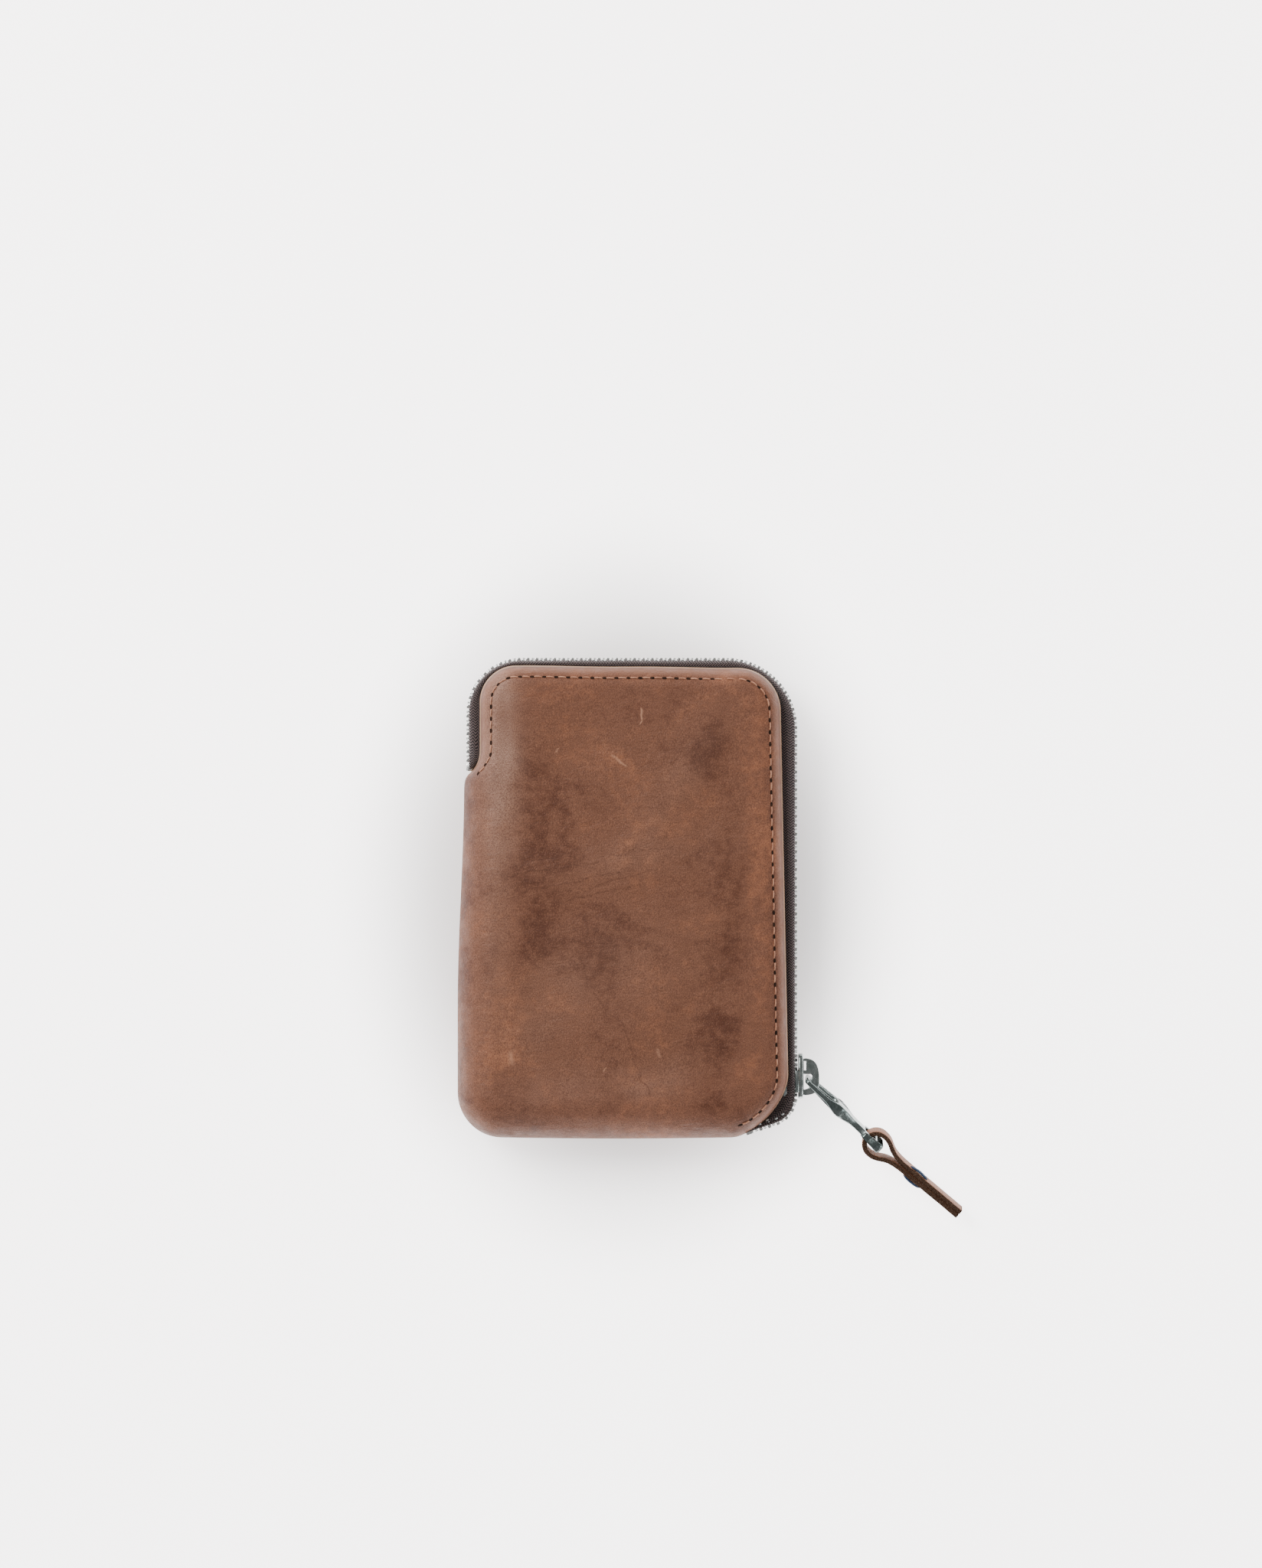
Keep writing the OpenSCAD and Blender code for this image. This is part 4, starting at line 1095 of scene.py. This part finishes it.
def strap_path():
    """Middle line of the strip: out along one side, round the loop, back along the other."""
    layer, loop = 0.59, 2.78
    back = 25.4
    upper = np.vstack([line((back, layer), (9.0, layer + 0.05), 40),
                       bezier((9.0, layer + 0.05), (6.2, layer + 0.1), (4.6, 0.9), (3.0, 1.9), 14)[1:],
                       bezier((3.0, 1.9), (2.0, 2.55), (1.0, loop + 0.05), (0, loop), 8)[1:]])
    turn = arc(0, 0, loop, 90, 270, 26)[1:-1]
    return np.vstack([upper, turn, (upper * [1, -1])[::-1]])


def strap_piece():
    path = at_lengths(strap_path(), np.linspace(0, lengths(strap_path())[-1], 150))
    along = tangents(path)
    side = np.column_stack([-along[:, 1], along[:, 0]])
    half_w, half_t = 2.05, 0.58
    u, v = rounded_section(half_t, half_w, 0.45, 0.22, 30).T
    cut = np.abs(v) > 0.93 * half_w
    fibres = rng.standard_normal((len(path), len(v)))
    wave = 0.05 * np.sin(np.arange(len(path)) * 0.31)[:, None]
    flat = path[:, None] + side[:, None] * u[:, None]
    points = np.dstack([flat, v + 0.035 * fibres * cut + wave * (v > 0)]).reshape(-1, 3)
    raw = np.maximum(np.tile(cut, len(path)), np.clip((points[:, 0] - 25.2) / 0.15, 0, 1))
    hang = hanging_frame(strap_joint, STRAP_TURN, STRAP_DROOP, STRAP_LEAN)
    obj = new_object("pull_strap", placed(points, hang), closed_faces(len(path), len(v)))
    store(obj, raw=raw, rest=points)
    clean(obj, 0)
    finish_piece(obj, strap_mat, ["leather_strap"], "strap")
    knot_piece(hang)


def knot_piece(hang):
    """Navy thread: strands drawn tight over both faces of the strap and through it."""
    parts = []
    t = np.linspace(0, 1, 16)
    strands = [(9.6, 14.2, 0.35), (9.8, 14.0, 0.0), (10.2, 14.4, -0.35)]
    for face in (-1, 1):
        for k, (start, end, height) in enumerate(strands):
            y = face * (1.2 + 0.42 * np.sin(math.pi * t) ** 0.5)
            z = height * np.sin(math.pi * t) + 0.1 * np.sin(t * 9 + k) + 1.15
            strand = placed(np.column_stack([lerp(start, end, t), y, z]), hang)
            parts.append(tube_parts(strand, [0.25] * len(t), 8))
    finish_piece(joined("strap_thread", parts), knot_mat, ["strap_knot"], "strap")


# ---------- build ----------

leather_mat = leather_paint()
flesh_mat = edge_leather_paint("flesh_strip", (0.30, 0.19, 0.125), (0.2, 0.12, 0.08),
                               (0.4, 0.27, 0.18))
pocket_mat = edge_leather_paint("pocket_leather", (0.20, 0.085, 0.05), (0.09, 0.04, 0.025),
                                (0.2, 0.11, 0.07))
strap_mat = edge_leather_paint("strap_leather", (0.235, 0.105, 0.058), (0.040, 0.019, 0.011),
                               (0.19, 0.12, 0.08))
tape_mat = tape_paint()
thread_mat = thread_paint("tan_thread", (0.36, 0.150, 0.082), (0.50, 0.235, 0.140))
knot_mat = thread_paint("navy_thread", (0.020, 0.040, 0.085), (0.035, 0.065, 0.125))
hole_shade_mat = hole_shade_paint()
# One nickel in three copies: the teeth painted bright as glints, the slider and the pull painted darker
# as shade.
shaded_slider_metal = metal_paint("slider_nickel_painted_shade", (0.42, 0.455, 0.445), (0.27, 0.31, 0.30), 0.14, 0.28)
glint_teeth_metal = metal_paint("tooth_nickel_painted_glint", (0.88, 0.88, 0.86), (0.74, 0.75, 0.73), 0.16, 0.30)
shaded_pull_metal = metal_paint("pull_nickel_painted_shade", (0.24, 0.275, 0.27), (0.15, 0.185, 0.18), 0.18, 0.34)

cover("front_cover", 1, ["front_panel_fixed", "front_panel_flap"])
cover("back_cover", -1, ["back_panel", "spine_fold"], "back_half")
tape_sheet("front_tape", 1, ["zip_tape_front_fixed", "zip_tape_front_flap"])
tape_sheet("back_tape", -1, ["zip_tape_back"], "back_half")
tooth, every = tooth_template(), np.ones(len(TOOTH_PLACES))
chain_row("front_teeth", TOOTH_PLACES, every, tooth, ["zip_teeth_front_fixed", "zip_teeth_front_flap"])
chain_row("back_teeth", TOOTH_PLACES + TOOTH_PITCH / 2, -every, tooth, ["zip_teeth_back"], "back_half")
chain_row("end_stops", STOP_AT, (1, -1, -1), tooth_template(STOP_L), ["zip_end_stops"], "back_half")
stitches("front_stitches", 1, ["stitches_front_fixed", "stitches_front_flap"])
stitches("back_stitches", -1, ["stitches_back"], "back_half")
wavy_strip("seam_strip_back", "seam_allowance_back", 0.1)
wavy_strip("seam_strip_front", "seam_allowance_front", -0.1)
seam_threads()
card_pocket()
slider_piece()
pull_piece()
strap_piece()

# ---------- floor, light and camera ----------

FRAME_LONG = 0.3625                      # what the long side of the picture covers, in metres
LOOK_AT = Vector((0.0008, 0.0263, 0.010))
CAMERA_HEIGHT = 1.7

FLOOR_HALF, FLOOR_Z = 1500, -0.05
floor = new_object("floor", [(x * FLOOR_HALF, y * FLOOR_HALF, FLOOR_Z)
                             for x, y in ((-1, -1), (1, -1), (1, 1), (-1, 1))], [[0, 1, 2, 3]])
store(floor, rest=points_of(floor))
floor.data.materials.append(floor_paint())


def area_light(name, place, size, power, colour):
    data = bpy.data.lights.new(name, "AREA")
    data.shape = "DISK"
    data.size = size
    data.energy = power
    data.color = colour
    light = linked(name, data)
    light.location = place
    light.rotation_euler = (-Vector(place)).to_track_quat("-Z", "Y").to_euler()


area_light("key", (-0.70, 0.60, 0.85), 0.7, 21, (1.0, 0.985, 0.97))
area_light("fill", (0.85, -0.5, 0.75), 0.8, 5.0, (0.97, 0.985, 1.0))

world = bpy.data.worlds.new("pale_room")
world.use_nodes = True
background = world.node_tree.nodes["Background"]
background.inputs["Color"].default_value = (1.0, 0.99, 0.985, 1)
background.inputs["Strength"].default_value = 0.30
bpy.context.scene.world = world

SENSOR_MM = 36
camera_data = bpy.data.cameras.new("camera")
camera_data.sensor_width = SENSOR_MM
camera_data.lens = SENSOR_MM * CAMERA_HEIGHT / FRAME_LONG
camera = linked("camera", camera_data)
camera.location = LOOK_AT + Vector((0, 0, CAMERA_HEIGHT))
bpy.context.scene.camera = camera
